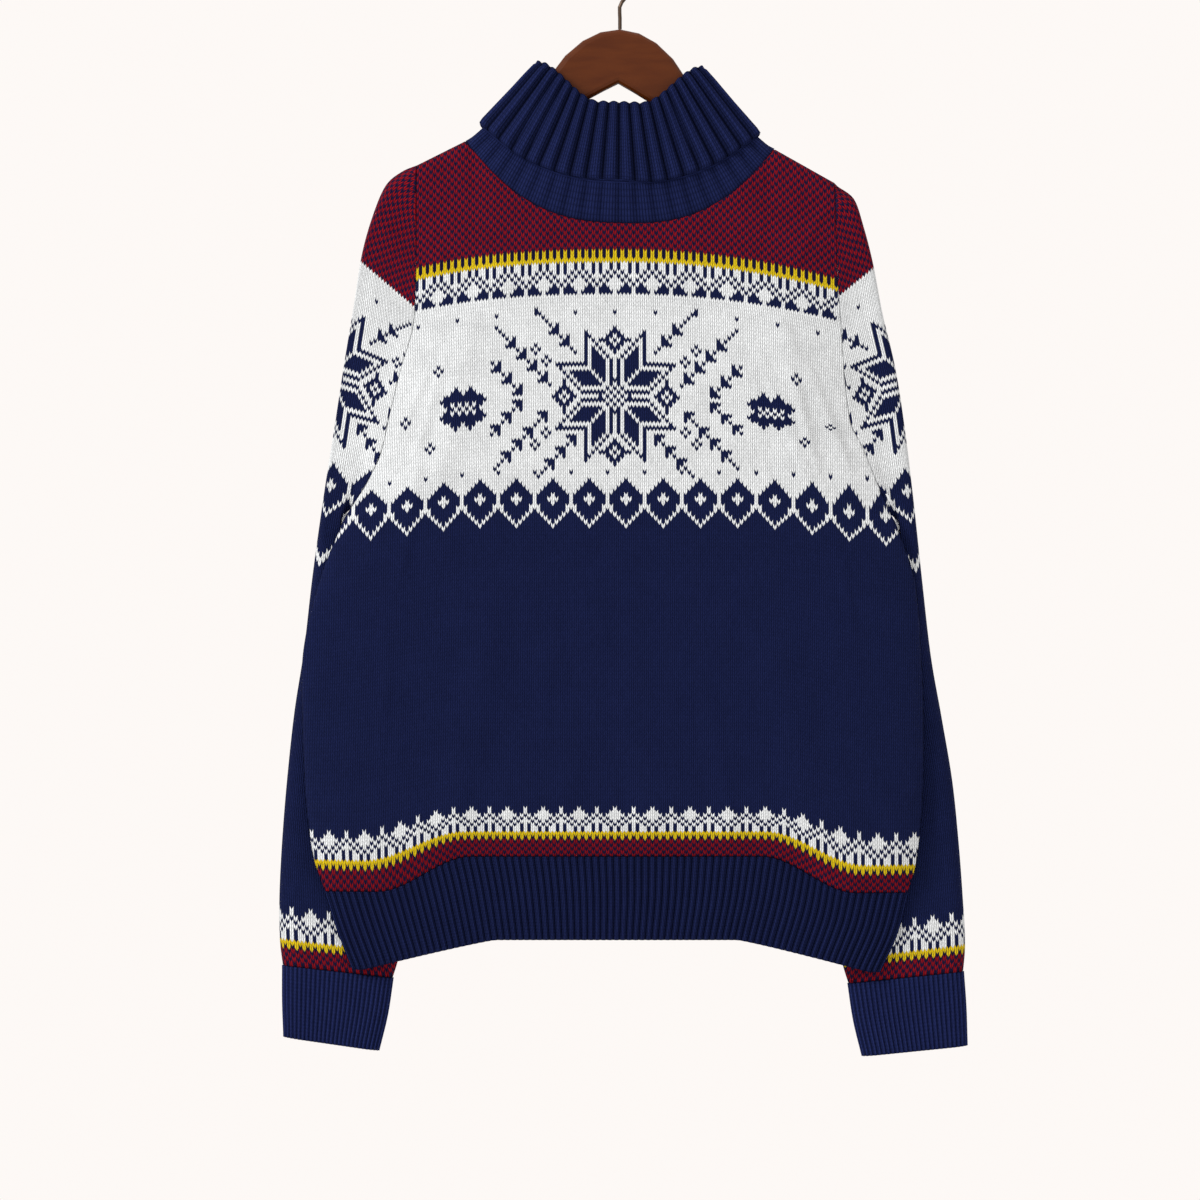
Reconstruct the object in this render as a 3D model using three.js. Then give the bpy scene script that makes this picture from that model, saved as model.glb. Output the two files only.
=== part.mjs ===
// Fair isle jumper on a wooden hanger, in millimetres, +Z up.
// The front faces -Y and +X is to the viewer's right, which is the wearer's left side.
// The origin is the rest point inside the top of the hook.

import * as THREE from "three";

// Rows of numbers as objects with named values
function table(names, rows) {
  return rows.map((row) => Object.fromEntries(names.map((name, i) => [name, row[i]])));
}

// Cloth and seams
const clothWall = 2.4;
const seamGap = 0.3;
const armholeGap = 0.45;
const ribSeamGap = 0.8;
const collarSeamGap = 1.3;

// Hanger
const woodHalfThickness = 6;
const woodEdgeRound = 4.5;
const hangerTilt = 0.03; // radians, the viewer's right end hangs lower
const wireRadius = 1.5;
const hookInnerRadius = 20;
const crownTop = -70;

// Neckline, shoulders and the rounding of the cloth over the hanger
const neckHalfWidth = 124;
const neckSide = { left: -159.5, right: -166 };
const shoulderTip = { left: { x: -163, z: -179 }, right: { x: 172, z: -193 } };
const frontNeckDrop = 64;
const backNeckDrop = 14;
const frontNeckDepth = 19;
const backNeckDepth = 14;
const neckCurvePower = 2.65;
const neckDepthPower = 6;
const yokeDepthPower = 1.2;
const overHangerReach = 12;
const overHangerDepth = 10;
const yokeRows = [0, 0.04, 0.12, 0.26, 0.45, 0.7];

// Columns of a panel: shares of each shoulder's width, then even steps along the neckline
const shoulderSteps = [0, 0.12, 0.35, 0.65, 1];
const neckSteps = 16;

// Body, a row for each section from the foot of the yoke down.
// mid is the height at the middle, each end has its own x and z, front and back are the depths at the
// middle, side is the depth of the edges, open the half gap between them at the armhole and roll how
// round the edges are turned.
const bodyRows = table([
  "mid", "leftX", "leftZ", "rightX", "rightZ", "front", "back", "side", "open", "roll",
], [
  [-249.6, -163.2, -264, 174.4, -272.8, -21, 14, -1, 10, 0],
  [-296, -165.6, -308.8, 177.6, -316.8, -22, 16, -1.5, 10, 0],
  [-332, -175.2, -342.4, 180, -352, -23, 17, -2, 10, 0],
  [-368, -184, -378.4, 184.8, -387.2, -24, 18, -2.5, 10, 0],
  [-399, -191.5, -411, 192.5, -402, -25, 18, -3, 9, 0],
  [-414, -197.5, -424.5, 199, -417, -25, 18, -3.5, 8.5, 0],
  [-427, -204, -437, 205, -432, -25, 18, -4, 8, 0],
  [-438, -210.5, -447, 211, -446, -25, 18, -4.5, 7, 0],
  [-446, -216, -455, 217, -459, -25, 18, -5, 4, 0.1],
  [-454, -221, -463, 221.5, -468, -25, 18, -9, 0, 1],
  [-496, -240, -511, 236, -512, -25, 18, -10, 0, 1],
  [-552, -253.6, -568, 241, -572, -26, 18, -10, 0, 1],
  [-608, -254.4, -622.4, 243.2, -624, -27, 18, -10, 0, 1],
  [-664, -252, -680, 242.4, -681.6, -29, 18, -10, 0, 1],
  [-694.4, -248.8, -714, 240, -716, -31, 18, -10, 0, 1],
  [-716, -244, -740, 236, -744, -29, 16, -10, 0, 1],
  [-732.8, -236, -761, 230.4, -762, -20, 11, -10, 0, 1],
]);
const underarmRow = yokeRows.length + 8;
const droopStart = 0.45;
const frontBulge = 70;
const backBulge = 22;
const foldFree = 30;

// The back panel lies flat against each sleeve that hangs behind it
const recessDepth = -7.6;
const recessMargin = 20;
const recessSlope = 34;
const noSleeve = 400;

// Soft folds of the body: x and slant of the ridge, its ends, half width and height outwards
const frontFolds = table(["x", "slant", "top", "bottom", "half", "height"], [
  [-118, -0.16, -500, -742, 26, 3.2],
  [20, 0.05, -560, -742, 34, 2.4],
  [138, 0.14, -520, -742, 28, 3.4],
  [-132, -0.2, -270, -470, 18, 2.2],
  [140, 0.22, -280, -480, 20, 2.4],
]);
const backFolds = table(["x", "slant", "top", "bottom", "half", "height"], [
  [-84, -0.1, -330, -742, 26, 3],
  [10, 0.04, -420, -742, 30, 2.4],
  [92, 0.1, -360, -742, 24, 3.2],
]);

// Sleeve, a row for each ring from the armhole to the cuff, as on the viewer's left.
// out is the outer fold, in the underarm fold and knee, where it isn't 0, a bend between them that
// keeps the cloth outside the armhole before it goes behind the body. outMid and inMid are depths,
// half the half thickness, bow the share of the armhole's curve that is left, wider and lower what
// the other sleeve's outer fold adds and fold the reach of the rounding at the underarm fold.
const sleeveRows = table([
  "outX", "outZ", "kneeX", "kneeZ", "inX", "inZ", "outMid", "inMid", "half", "bow", "wider", "lower", "fold",
], [
  [-175, -184, 0, 0, -221, -459.5, 0, 1, 10.6, 0.86, 0, 12, 60],
  [-188, -195, 0, 0, -223, -466, 0, 4, 11, 0.66, 0, 11, 50],
  [-198.4, -219, -226, -464, -219, -476, 0.5, 5, 11, 0.45, -3, 8, 40],
  [-207.2, -250, -227, -465, -210, -488, 1, 6, 11, 0.28, -4, 7, 34],
  [-213.6, -290, -228, -467, -199, -502, 2, 6.5, 11, 0.12, -3, 6, 28],
  [-221.6, -338, -229, -469, -188, -519, 3, 6.5, 10.5, 0, 0, 5, 26],
  [-229.6, -390, -231, -474, -177, -542, 4, 6.5, 10, 0, 0, 5, 24],
  [-238.4, -446, -232, -490, -168, -574, 4.5, 6, 10, 0, -2, 5, 22],
  [-247.2, -509, -232, -530, -162, -610, 5, 6, 10, 0, -4, 5, 20],
  [-254, -568, 0, 0, -160, -646, 5, 6, 10, 0, -4, 5, 18],
  [-261.6, -617, 0, 0, -161, -681, 5, 6, 10, 0, -3, 5, 16],
  [-267.2, -668, 0, 0, -164, -714, 5, 6, 10, 0, 0, 5, 16],
  [-271.2, -716, 0, 0, -168, -748, 5, 6, 10.5, 0, 1, 5, 16],
  [-273.6, -761, 0, 0, -172, -781, 5, 6, 11, 0, 2, 5, 16],
  [-273.6, -798, 0, 0, -177, -812, 5, 6, 10.5, 0, 4, 5, 16],
  [-271, -821, 0, 0, -182.5, -831, 5, 5.5, 9.5, 0, 5, 5, 16],
]);
const outFoldReach = 15;
const underarmShift = 0.85;
const innerTopDrop = 0.48;
const otherInnerFold = { wider: 1, lower: 4.5 };

// Ribs: rows of a cuff below the sleeve and of the hem below the body
const cuffRows = table(["outX", "outZ", "inX", "inZ", "half", "wider", "lower"], [
  [-271, -850, -187, -861, 8.8, 7, 5],
  [-270, -879, -194, -890, 8.6, 9, 7],
]);
const cuffMid = 5;
const cuffRibs = 30;
const hemRows = table(["mid", "leftX", "leftZ", "rightX", "rightZ", "front", "back"], [
  [-766, -226, -793, 222, -795, -18, 9],
  [-800, -214, -824, 208, -826, -16.5, 8],
]);
const hemRibs = 84;
const fineRibHeight = 0.9;

// Collar: half width, height at the sides, how far the front and back dip and their depths, at the fold,
// at the free edge of the outer layer and where the stand below it comes out
const collarTop = { half: 68, side: -100, drop: 32, backDrop: 32, front: 19, back: 18 };
const collarEdge = { half: 113, side: -149, drop: 43, backDrop: 43, front: 27.5, back: 23.8 };
const collarStand = { half: 113, side: -149, drop: 43, backDrop: 8, front: 27.5, back: 19.5 };
const collarTopSpread = 0.75;
const collarEdgePower = 2.5;
const collarRibs = 56;
const collarRibHeight = 1.7;
const collarGroove = -0.2;
const foldRibShare = 0.6;
const pointsPerRib = 3;
const collarStandRibHeight = 0.5;
const collarLayerGap = 0.9;
const collarLayerRows = 5;
const collarRowStep = 0.1;
const foldRise = 2.6;
const foldCrown = 1.1;
const neckRingSteps = 60;
const layerNarrower = 0.75;
const layerLower = 0.7;

const wool = { navy: 0x232b52, red: 0x8e1b28, white: 0xe4e7e6 };

// Small helpers

function mix(a, b, share) {
  return a + (b - a) * share;
}

function clamp01(value) {
  return Math.min(1, Math.max(0, value));
}

function soft(value) {
  const t = clamp01(value);
  return t * t * (3 - 2 * t);
}

// Quarter of a circle's rise: steep at 0 and level from 1 on
function roundRise(value) {
  const rest = 1 - clamp01(value);
  return Math.sqrt(1 - rest * rest);
}

function material(colour, roughness, metalness) {
  return new THREE.MeshStandardMaterial({ color: colour, roughness, metalness });
}

// The point at a share of a line's length
function pointAlong(line, share) {
  const lengths = [0];
  for (let i = 1; i < line.length; i += 1) {
    lengths.push(lengths[i - 1] + line[i].distanceTo(line[i - 1]));
  }
  const goal = clamp01(share) * lengths[lengths.length - 1];
  let i = 1;
  while (i < line.length - 1 && lengths[i] < goal) i += 1;
  const part = (goal - lengths[i - 1]) / (lengths[i] - lengths[i - 1]);
  return line[i - 1].clone().lerp(line[i], part);
}

// A closed mesh from rows of points. Each row runs to the right as seen from outside, and the rows go down
// the outside, round the lower edge and up the inside. Rows may differ in how many points they hold.
function closedMesh(name, rows, look, ends) {
  const points = [];
  const faces = [];
  const numbered = rows.map((row) => row.map((point) => points.push(point) - 1));

  function stitch(upper, lower, ring) {
    const upperSteps = ring ? upper.length : upper.length - 1;
    const lowerSteps = ring ? lower.length : lower.length - 1;
    let a = 0;
    let b = 0;
    while (a < upperSteps || b < lowerSteps) {
      const here = upper[a % upper.length];
      const below = lower[b % lower.length];
      const upperFirst = (a + 1) * lowerSteps <= (b + 1) * upperSteps;
      const takeUpper = b >= lowerSteps || (a < upperSteps && upperFirst);
      if (takeUpper) {
        faces.push(here, below, upper[(a + 1) % upper.length]);
        a += 1;
      } else {
        faces.push(here, below, lower[(b + 1) % lower.length]);
        b += 1;
      }
    }
  }

  for (let i = 0; i < numbered.length; i += 1) {
    stitch(numbered[i], numbered[(i + 1) % numbered.length], !ends);
  }
  if (ends) {
    const outside = numbered.slice(0, ends.outerRows);
    const inside = numbered.slice(ends.outerRows).reverse();
    const first = (row) => row[0];
    const last = (row) => row[row.length - 1];
    stitch(outside.map(first), inside.map(first), false);
    stitch(inside.map(last), outside.map(last), false);
  }
  const geometry = new THREE.BufferGeometry();
  const values = points.flatMap((point) => [point.x, point.y, point.z]);
  geometry.setAttribute("position", new THREE.Float32BufferAttribute(values, 3));
  geometry.setIndex(faces);
  geometry.computeVertexNormals();
  const mesh = new THREE.Mesh(geometry, look);
  mesh.name = name;
  return mesh;
}

// The outward normal of a grid of points at one of them
function gridNormal(grid, r, c, ring) {
  const columns = grid[r].length;
  const before = ring ? (c + columns - 1) % columns : Math.max(0, c - 1);
  const after = ring ? (c + 1) % columns : Math.min(columns - 1, c + 1);
  const down = grid[Math.min(grid.length - 1, r + 1)][c].clone().sub(grid[Math.max(0, r - 1)][c]);
  const along = grid[r][after].clone().sub(grid[r][before]);
  return down.cross(along).normalize();
}

// A grid moved in by the wall, with every row at the given step and, between the end rows, every column
// at its own step
function insideOf(grid, ring, steps, normalAt) {
  const inside = [];
  for (let r = 0; r < grid.length; r += steps.row) {
    const atEnd = r === 0 || r === grid.length - 1;
    const row = [];
    for (let c = 0; c < grid[r].length; c += atEnd ? 1 : steps.column) {
      const normal = normalAt(r, c) ?? gridNormal(grid, r, c, ring);
      row.push(grid[r][c].clone().addScaledVector(normal, -clothWall));
    }
    inside.push(row);
  }
  return inside;
}

// Front and back panels

function columnShares() {
  const width = shoulderTip.right.x - shoulderTip.left.x;
  const leftShoulder = (-neckHalfWidth - shoulderTip.left.x) / width;
  const rightShoulder = (shoulderTip.right.x - neckHalfWidth) / width;
  const shares = shoulderSteps.map((step) => step * leftShoulder);
  for (let i = 1; i < neckSteps; i += 1) {
    shares.push(mix(leftShoulder, 1 - rightShoulder, i / neckSteps));
  }
  return shares.concat(shoulderSteps.map((step) => 1 - step * rightShoulder).reverse());
}

const shares = columnShares();
const neckFirst = shoulderSteps.length - 1;
const neckLast = neckFirst + neckSteps;

// The top line of a panel: shoulder, neckline, shoulder
function topPoint(column, facing) {
  const x = mix(shoulderTip.left.x, shoulderTip.right.x, shares[column]);
  if (column <= neckFirst) {
    const share = (x - shoulderTip.left.x) / (-neckHalfWidth - shoulderTip.left.x);
    return new THREE.Vector3(x, facing * seamGap / 2, mix(shoulderTip.left.z, neckSide.left, share));
  }
  if (column >= neckLast) {
    const share = (shoulderTip.right.x - x) / (shoulderTip.right.x - neckHalfWidth);
    return new THREE.Vector3(x, facing * seamGap / 2, mix(shoulderTip.right.z, neckSide.right, share));
  }
  const across = x / neckHalfWidth;
  const drop = facing < 0 ? frontNeckDrop : backNeckDrop;
  const depth = facing < 0 ? frontNeckDepth : backNeckDepth;
  const side = mix(neckSide.left, neckSide.right, (across + 1) / 2);
  const y = facing * (seamGap / 2 + depth * Math.sqrt(1 - across ** neckDepthPower));
  return new THREE.Vector3(x, y, side - drop * (1 - Math.abs(across) ** neckCurvePower));
}

function foldOffset(folds, x, z) {
  let offset = 0;
  for (const fold of folds) {
    const middle = (fold.top + fold.bottom) / 2;
    const ridge = fold.x + fold.slant * (middle - z);
    const away = Math.abs(x - ridge) / fold.half;
    const along = Math.abs(z - middle) / ((fold.top - fold.bottom) / 2);
    if (away < 1 && along < 1) {
      offset += fold.height * soft(1 - away) * soft(2 * (1 - along));
    }
  }
  return offset;
}

// The x of the underarm fold of the sleeve on one side, at a height
function sleeveInnerX(side, z) {
  const shift = side > 0 ? otherInnerFold : { wider: 0, lower: 0 };
  const folds = sleeveRows.map((row) => ({ x: -side * row.inX + shift.wider, z: row.inZ - shift.lower }));
  if (z > folds[0].z) return side * noSleeve;
  const next = folds.findIndex((fold) => fold.z < z);
  if (next < 0) return folds[folds.length - 1].x;
  const share = (z - folds[next - 1].z) / (folds[next].z - folds[next - 1].z);
  return mix(folds[next - 1].x, folds[next].x, share);
}

function bodyPoint(row, share, facing) {
  const x = mix(row.leftX, row.rightX, share);
  const endX = share < 0.5 ? row.leftX : row.rightX;
  const endZ = share < 0.5 ? row.leftZ : row.rightZ;
  const z = mix(row.mid, endZ, soft((Math.abs(2 * share - 1) - droopStart) / (1 - droopStart)));
  const inward = Math.abs(x - endX);
  const edge = row.side + facing * Math.max(row.open, seamGap / 2);
  const power = 1 - 0.5 * row.roll;
  const bulged = (reach) => (1 - (1 - clamp01(inward / reach)) ** 2) ** power;
  const away = soft(inward / foldFree);
  if (facing < 0) {
    const y = mix(edge, row.front, bulged(frontBulge)) - foldOffset(frontFolds, x, z) * away;
    return new THREE.Vector3(x, y, z);
  }
  const free = mix(edge, row.back, bulged(frontBulge)) + foldOffset(backFolds, x, z) * away;
  const held = mix(edge, recessDepth, bulged(backBulge));
  const side = Math.sign(x);
  const beyond = side * (x - sleeveInnerX(side, z)) + recessMargin;
  const pressed = row.open > 0 ? 0 : soft((beyond + recessSlope) / recessSlope);
  return new THREE.Vector3(x, mix(free, held, pressed), z);
}

// Facing is -1 for the front and 1 for the back
function panelGrid(facing) {
  const grid = [];
  for (const fall of yokeRows) {
    grid.push(shares.map((share, column) => {
      const top = topPoint(column, facing);
      const foot = bodyPoint(bodyRows[0], share, facing);
      const below = top.distanceTo(foot) * fall;
      const over = overHangerDepth * roundRise(below / overHangerReach);
      const room = clamp01(1 - Math.abs(top.y) / overHangerDepth);
      const y = mix(top.y + facing * over * room, foot.y, fall ** yokeDepthPower);
      return new THREE.Vector3(mix(top.x, foot.x, fall), y, mix(top.z, foot.z, fall));
    }));
  }
  for (const row of bodyRows) grid.push(shares.map((share) => bodyPoint(row, share, facing)));
  return grid;
}

// Runs a back row the other way, so that each row runs to the right as seen from outside
function seenFromOutside(grid, facing) {
  return facing < 0 ? grid : grid.map((row) => row.slice().reverse());
}

function panelInside(grid, facing) {
  const last = shares.length - 1;
  return insideOf(seenFromOutside(grid, facing), false, { row: 1, column: 2 }, (r, c) => {
    const column = facing < 0 ? c : last - c;
    const sideSeam = r > underarmRow && (column === 0 || column === last);
    if (sideSeam) return new THREE.Vector3(column === 0 ? -1 : 1, 0, 0);
    const shoulder = r === 0 && (column <= neckFirst || column >= neckLast);
    if (shoulder) {
      const side = column <= neckFirst ? "left" : "right";
      const run = Math.abs(shoulderTip[side].x) - neckHalfWidth;
      const fall = neckSide[side] - shoulderTip[side].z;
      return new THREE.Vector3(Math.sign(shoulderTip[side].x) * fall, 0, run).normalize();
    }
    return null;
  });
}

const frontGrid = panelGrid(-1);
const backGrid = panelGrid(1);
const frontInside = panelInside(frontGrid, -1);
const backInside = panelInside(backGrid, 1);

function panel(name, grid, inside, facing, look) {
  const outside = seenFromOutside(grid, facing);
  return closedMesh(name, outside.concat(inside.slice().reverse()), look, { outerRows: outside.length });
}

// Sleeves and cuffs

// A line moved off its panel by the seam gap, away from the next column or row
function movedOff(line, neighbours) {
  return line.map((point, i) => {
    const away = point.clone().sub(neighbours[i]).normalize();
    return point.clone().addScaledVector(away, armholeGap);
  });
}

// The armhole's edge as a ring: down the front, then up the back, seen from outside on the viewer's left
function armholeRing(side, outer) {
  const bottom = underarmRow;
  const front = outer ? frontGrid : frontInside;
  const back = outer ? seenFromOutside(backGrid, 1) : backInside;
  const frontColumn = (row, i) => row[side < 0 ? i : row.length - 1 - i];
  const backColumn = (row, i) => row[side < 0 ? row.length - 1 - i : i];
  const frontRows = front.slice(0, bottom + 1);
  const backRows = back.slice(0, bottom + 1);
  const down = movedOff(frontRows.map((r) => frontColumn(r, 0)), frontRows.map((r) => frontColumn(r, 1)));
  const up = movedOff(backRows.map((r) => backColumn(r, 0)), backRows.map((r) => backColumn(r, 1)));
  down[0].lerp(up[0], 0.5);
  down[bottom].lerp(up[bottom], underarmShift);
  if (!outer) {
    down[0].z -= innerTopDrop;
    down[bottom].z += clothWall;
  }
  return down.concat(up.slice(1, bottom).reverse());
}

// Shares of the way from the outer fold to the inner one, for each point of the armhole ring
function ringShares(side) {
  const ring = armholeRing(side, true);
  const half = ring.slice(0, underarmRow + 1);
  const lengths = [0];
  for (let i = 1; i < half.length; i += 1) {
    lengths.push(lengths[i - 1] + half[i].distanceTo(half[i - 1]));
  }
  return lengths.map((length) => length / lengths[lengths.length - 1]);
}

function sleeveRing(side, row, steps) {
  const extra = side > 0 ? row.wider : 0;
  const lower = side > 0 ? row.lower : 0;
  const out = new THREE.Vector3(-side * row.outX + side * extra, row.outMid, row.outZ - lower);
  const inner = new THREE.Vector3(-side * row.inX, row.inMid, row.inZ);
  if (side > 0) {
    inner.x += otherInnerFold.wider;
    inner.z -= otherInnerFold.lower;
  }
  const knee = new THREE.Vector3(inner.x + side * (row.inX - row.kneeX), 0, inner.z + row.kneeZ - row.inZ);
  const line = row.kneeZ ? [out, knee, inner] : [out, inner];
  const length = line.slice(1).reduce((sum, point, i) => sum + point.distanceTo(line[i]), 0);
  const half = steps.map((share) => {
    const thick = row.half * roundRise(share * length / outFoldReach)
      * roundRise((1 - share) * length / row.fold);
    const point = pointAlong(line, share);
    point.y = mix(row.outMid, row.inMid, soft(share));
    return { point, thick };
  });
  const front = half.map(({ point, thick }) => point.clone().setY(point.y - thick));
  const back = half.slice(1, -1).reverse().map(({ point, thick }) => point.clone().setY(point.y + thick));
  return front.concat(back);
}

function sleeveGrid(side) {
  const first = armholeRing(side, true);
  const steps = ringShares(side);
  const top = first[0];
  const bottom = first[underarmRow];
  const bows = first.map((point, i) => {
    const share = i <= underarmRow ? steps[i] : steps[2 * underarmRow - i];
    return point.x - mix(top.x, bottom.x, share);
  });
  const rings = sleeveRows.map((row) => {
    const ring = sleeveRing(side, row, steps);
    return ring.map((point, i) => point.setX(point.x + bows[i] * row.bow));
  });
  return [first].concat(rings);
}

// Turns a ring of the viewer's right sleeve round, so that it too runs to the right seen from outside
function rightHanded(ring, side) {
  return side < 0 ? ring : [ring[0]].concat(ring.slice(1).reverse());
}

function sleeveParts(side) {
  const grid = sleeveGrid(side).map((ring) => rightHanded(ring, side));
  const inside = insideOf(grid, true, { row: 2, column: 1 }, () => null);
  inside[0] = rightHanded(armholeRing(side, false), side);
  return { grid, inside };
}

function sleeve(name, side, look) {
  const { grid, inside } = sleeveParts(side);
  return closedMesh(name, grid.concat(inside.slice().reverse()), look);
}

// Points along a ring at even shares of its length
function evenRing(ring, count) {
  const line = ring.concat([ring[0]]);
  return Array.from({ length: count }, (_, i) => pointAlong(line, i / count));
}

function raisedRibs(row, normals, height) {
  return row.map((point, i) => point.clone().addScaledVector(normals[i], i % 2 === 0 ? 0 : height));
}

function cuff(name, side, look) {
  const { grid, inside } = sleeveParts(side);
  const sleeveEnd = grid[grid.length - 1];
  const insideEnd = inside[inside.length - 1];
  const steps = ringShares(side);
  const gap = new THREE.Vector3(0, 0, -seamGap);
  const rings = cuffRows.map((row) => {
    const full = { ...row, outMid: cuffMid, inMid: cuffMid, fold: outFoldReach };
    return rightHanded(sleeveRing(side, full, steps), side);
  });
  const plain = [sleeveEnd.map((point) => point.clone().add(gap))].concat(rings);
  const outer = plain.map((ring) => evenRing(ring, cuffRibs * 2));
  const ribbed = outer.map((ring, r) => {
    const normals = ring.map((_, c) => gridNormal(outer, r, c, true));
    return raisedRibs(ring, normals, r === 0 ? 0 : fineRibHeight);
  });
  const innerRows = rings.map((ring, r) => {
    const row = ring.map((point, c) => {
      const normal = gridNormal(plain, r + 1, c, true);
      return point.clone().addScaledVector(normal, -clothWall);
    });
    return row.filter((_, c) => c % 2 === 0);
  });
  const innerTop = insideEnd.map((point) => point.clone().add(gap));
  return closedMesh(name, ribbed.concat([innerTop].concat(innerRows).reverse()), look);
}

// Hem ribs

function hemRib(name, facing, look) {
  const top = seenFromOutside(facing < 0 ? frontGrid : backGrid, facing).at(-1);
  const insideTop = (facing < 0 ? frontInside : backInside).at(-1);
  const gap = new THREE.Vector3(0, 0, -ribSeamGap);
  const lastBody = bodyRows[bodyRows.length - 1];
  const plain = [top.map((point) => point.clone().add(gap))];
  for (const row of hemRows) {
    const full = { ...lastBody, ...row };
    const points = shares.map((share) => bodyPoint(full, share, facing));
    plain.push(facing < 0 ? points : points.reverse());
  }
  const count = hemRibs * 2;
  const evenRow = (row) => Array.from({ length: count + 1 }, (_, i) => pointAlong(row, i / count));
  const outer = plain.map(evenRow);
  const ribbed = outer.map((row, r) => {
    const normals = row.map((_, c) => gridNormal(outer, r, c, false));
    return raisedRibs(row, normals, r === 0 ? 0 : fineRibHeight);
  });
  const last = plain[0].length - 1;
  const innerRows = plain.slice(1).map((row, r) => {
    const moved = row.map((point, c) => {
      const atEnd = c === 0 || c === last;
      const outward = (c === 0) === (facing < 0) ? -1 : 1;
      const normal = atEnd ? new THREE.Vector3(outward, 0, 0) : gridNormal(plain, r + 1, c, false);
      return point.clone().addScaledVector(normal, -clothWall);
    });
    return moved.filter((_, c) => c % 2 === 0);
  });
  const innerTop = insideTop.map((point) => point.clone().add(gap));
  const rows = ribbed.concat([innerTop].concat(innerRows).reverse());
  return closedMesh(name, rows, look, { outerRows: ribbed.length });
}

// Collar

// A flat ring round the neck as even points, from the viewer's left along the front, then back
function neckRing(size, count) {
  const line = (facing, depth, drop) => Array.from({ length: neckRingSteps + 1 }, (_, i) => {
    const across = -Math.cos(Math.PI * i / neckRingSteps);
    const x = size.half * across;
    const y = facing * depth * Math.sqrt(1 - across * across);
    const tilt = x * Math.tan(hangerTilt);
    return new THREE.Vector3(x, y, size.side - drop * size.dropShape(Math.abs(across)) - tilt);
  });
  const front = line(-1, size.front, size.drop);
  const back = line(1, size.back, size.backDrop).reverse();
  const half = count / 2;
  const points = Array.from({ length: half }, (_, i) => pointAlong(front, i / half));
  return points.concat(Array.from({ length: half }, (_, i) => pointAlong(back, i / half)));
}

// The neckline of the two panels as a ring, moved up off them by the seam gap
function necklineRing(count, outer) {
  const front = outer ? frontGrid : frontInside;
  const back = outer ? seenFromOutside(backGrid, 1) : backInside;
  const up = new THREE.Vector3(0, 0, collarSeamGap);
  const line = (grid) => grid[0].slice(neckFirst, neckLast + 1).map((point) => point.clone().add(up));
  const frontLine = line(front);
  const backLine = line(back);
  const half = count / 2;
  const points = Array.from({ length: half }, (_, i) => pointAlong(frontLine, i / half));
  return points.concat(Array.from({ length: half }, (_, i) => pointAlong(backLine, i / half)));
}

function shrunk(size, by, rise) {
  return {
    ...size,
    half: size.half - by * layerNarrower,
    front: size.front - by,
    back: size.back - by,
    side: size.side - by * layerLower + rise,
  };
}

function blendRings(a, b, share) {
  return a.map((point, i) => point.clone().lerp(b[i], share));
}

// Outer layer, from just under the fold down to its free edge
function collarOuterRows(topShape, edgeShape) {
  const count = collarRibs * pointsPerRib;
  const ringAt = (share) => blendRings(neckRing(topShape, count), neckRing(edgeShape, count), share);
  return Array.from({ length: collarLayerRows + 1 }, (_, i) => {
    const share = i / collarLayerRows;
    const ring = ringAt(share);
    const pair = [ring, ringAt(share + collarRowStep)];
    const height = i === 0 ? collarRibHeight * foldRibShare : collarRibHeight;
    return ring.map((point, c) => {
      const rise = c % pointsPerRib === 0 ? collarGroove : height;
      return point.clone().addScaledVector(gridNormal(pair, 0, c, true), rise);
    });
  });
}

// The ring half way between two shapes
function middleRing(upper, lower, count) {
  return blendRings(neckRing(upper, count), neckRing(lower, count), 0.5);
}

function rollCollar(look) {
  const topShape = { ...collarTop, dropShape: (across) => soft((1 - across) / collarTopSpread) };
  const dropShape = (across) => 1 - across ** collarEdgePower;
  const edgeShape = { ...collarEdge, dropShape };
  const standShape = { ...collarStand, dropShape };
  const plain = collarRibs;
  const fine = collarRibs * 2;
  const toStand = clothWall + collarLayerGap;
  const toInside = toStand + clothWall;
  const rows = collarOuterRows(topShape, edgeShape);

  // Up the hidden face of the outer layer, then down the stand
  const layerTop = shrunk(topShape, clothWall, 0);
  const layerEdge = shrunk(edgeShape, clothWall, 0);
  rows.push(neckRing(layerEdge, plain), middleRing(layerEdge, layerTop, plain), neckRing(layerTop, plain));
  const standTop = shrunk(topShape, toStand, 0);
  const standFoot = shrunk(standShape, toStand, -1);
  rows.push(neckRing(standTop, plain), middleRing(standTop, standFoot, plain));
  const neckline = necklineRing(fine, true);
  const standEdge = neckRing(standFoot, fine);
  const standRows = [standEdge, blendRings(standEdge, neckline, 0.5), neckline];
  standRows.forEach((ring, i) => {
    const normals = ring.map((_, c) => gridNormal(standRows, i, c, true));
    rows.push(raisedRibs(ring, normals, i === 1 ? collarStandRibHeight : 0));
  });

  // Up the inside to the fold and over it
  const insideTop = shrunk(topShape, toInside, 0);
  rows.push(necklineRing(plain, false));
  rows.push(neckRing(shrunk(standShape, toInside, -2), plain));
  rows.push(middleRing(shrunk(standShape, toInside, -1), insideTop, plain));
  rows.push(neckRing(insideTop, plain));
  rows.push(neckRing(shrunk(topShape, toStand, foldRise), plain));
  rows.push(neckRing(shrunk(topShape, clothWall / 2, foldRise * foldCrown), fine));
  return closedMesh("roll_collar", rows, look);
}

// Hanger

// Half outline of the wood: distance from the middle, top edge and underside
const woodRows = table(["x", "top", "under"], [
  [0, -70, -113],
  [14, -72.5, -120.5],
  [27, -79.3, -128],
  [40, -91, -135.5],
  [52, -108, -142.5],
  [74, -134, -157],
  [98, -158.5, -176],
  [112, -170.5, -187],
  [124, -174.5, -192],
  [144, -181.5, -201],
  [153, -187.5, -206],
  [158, -194, -207],
]);

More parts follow.
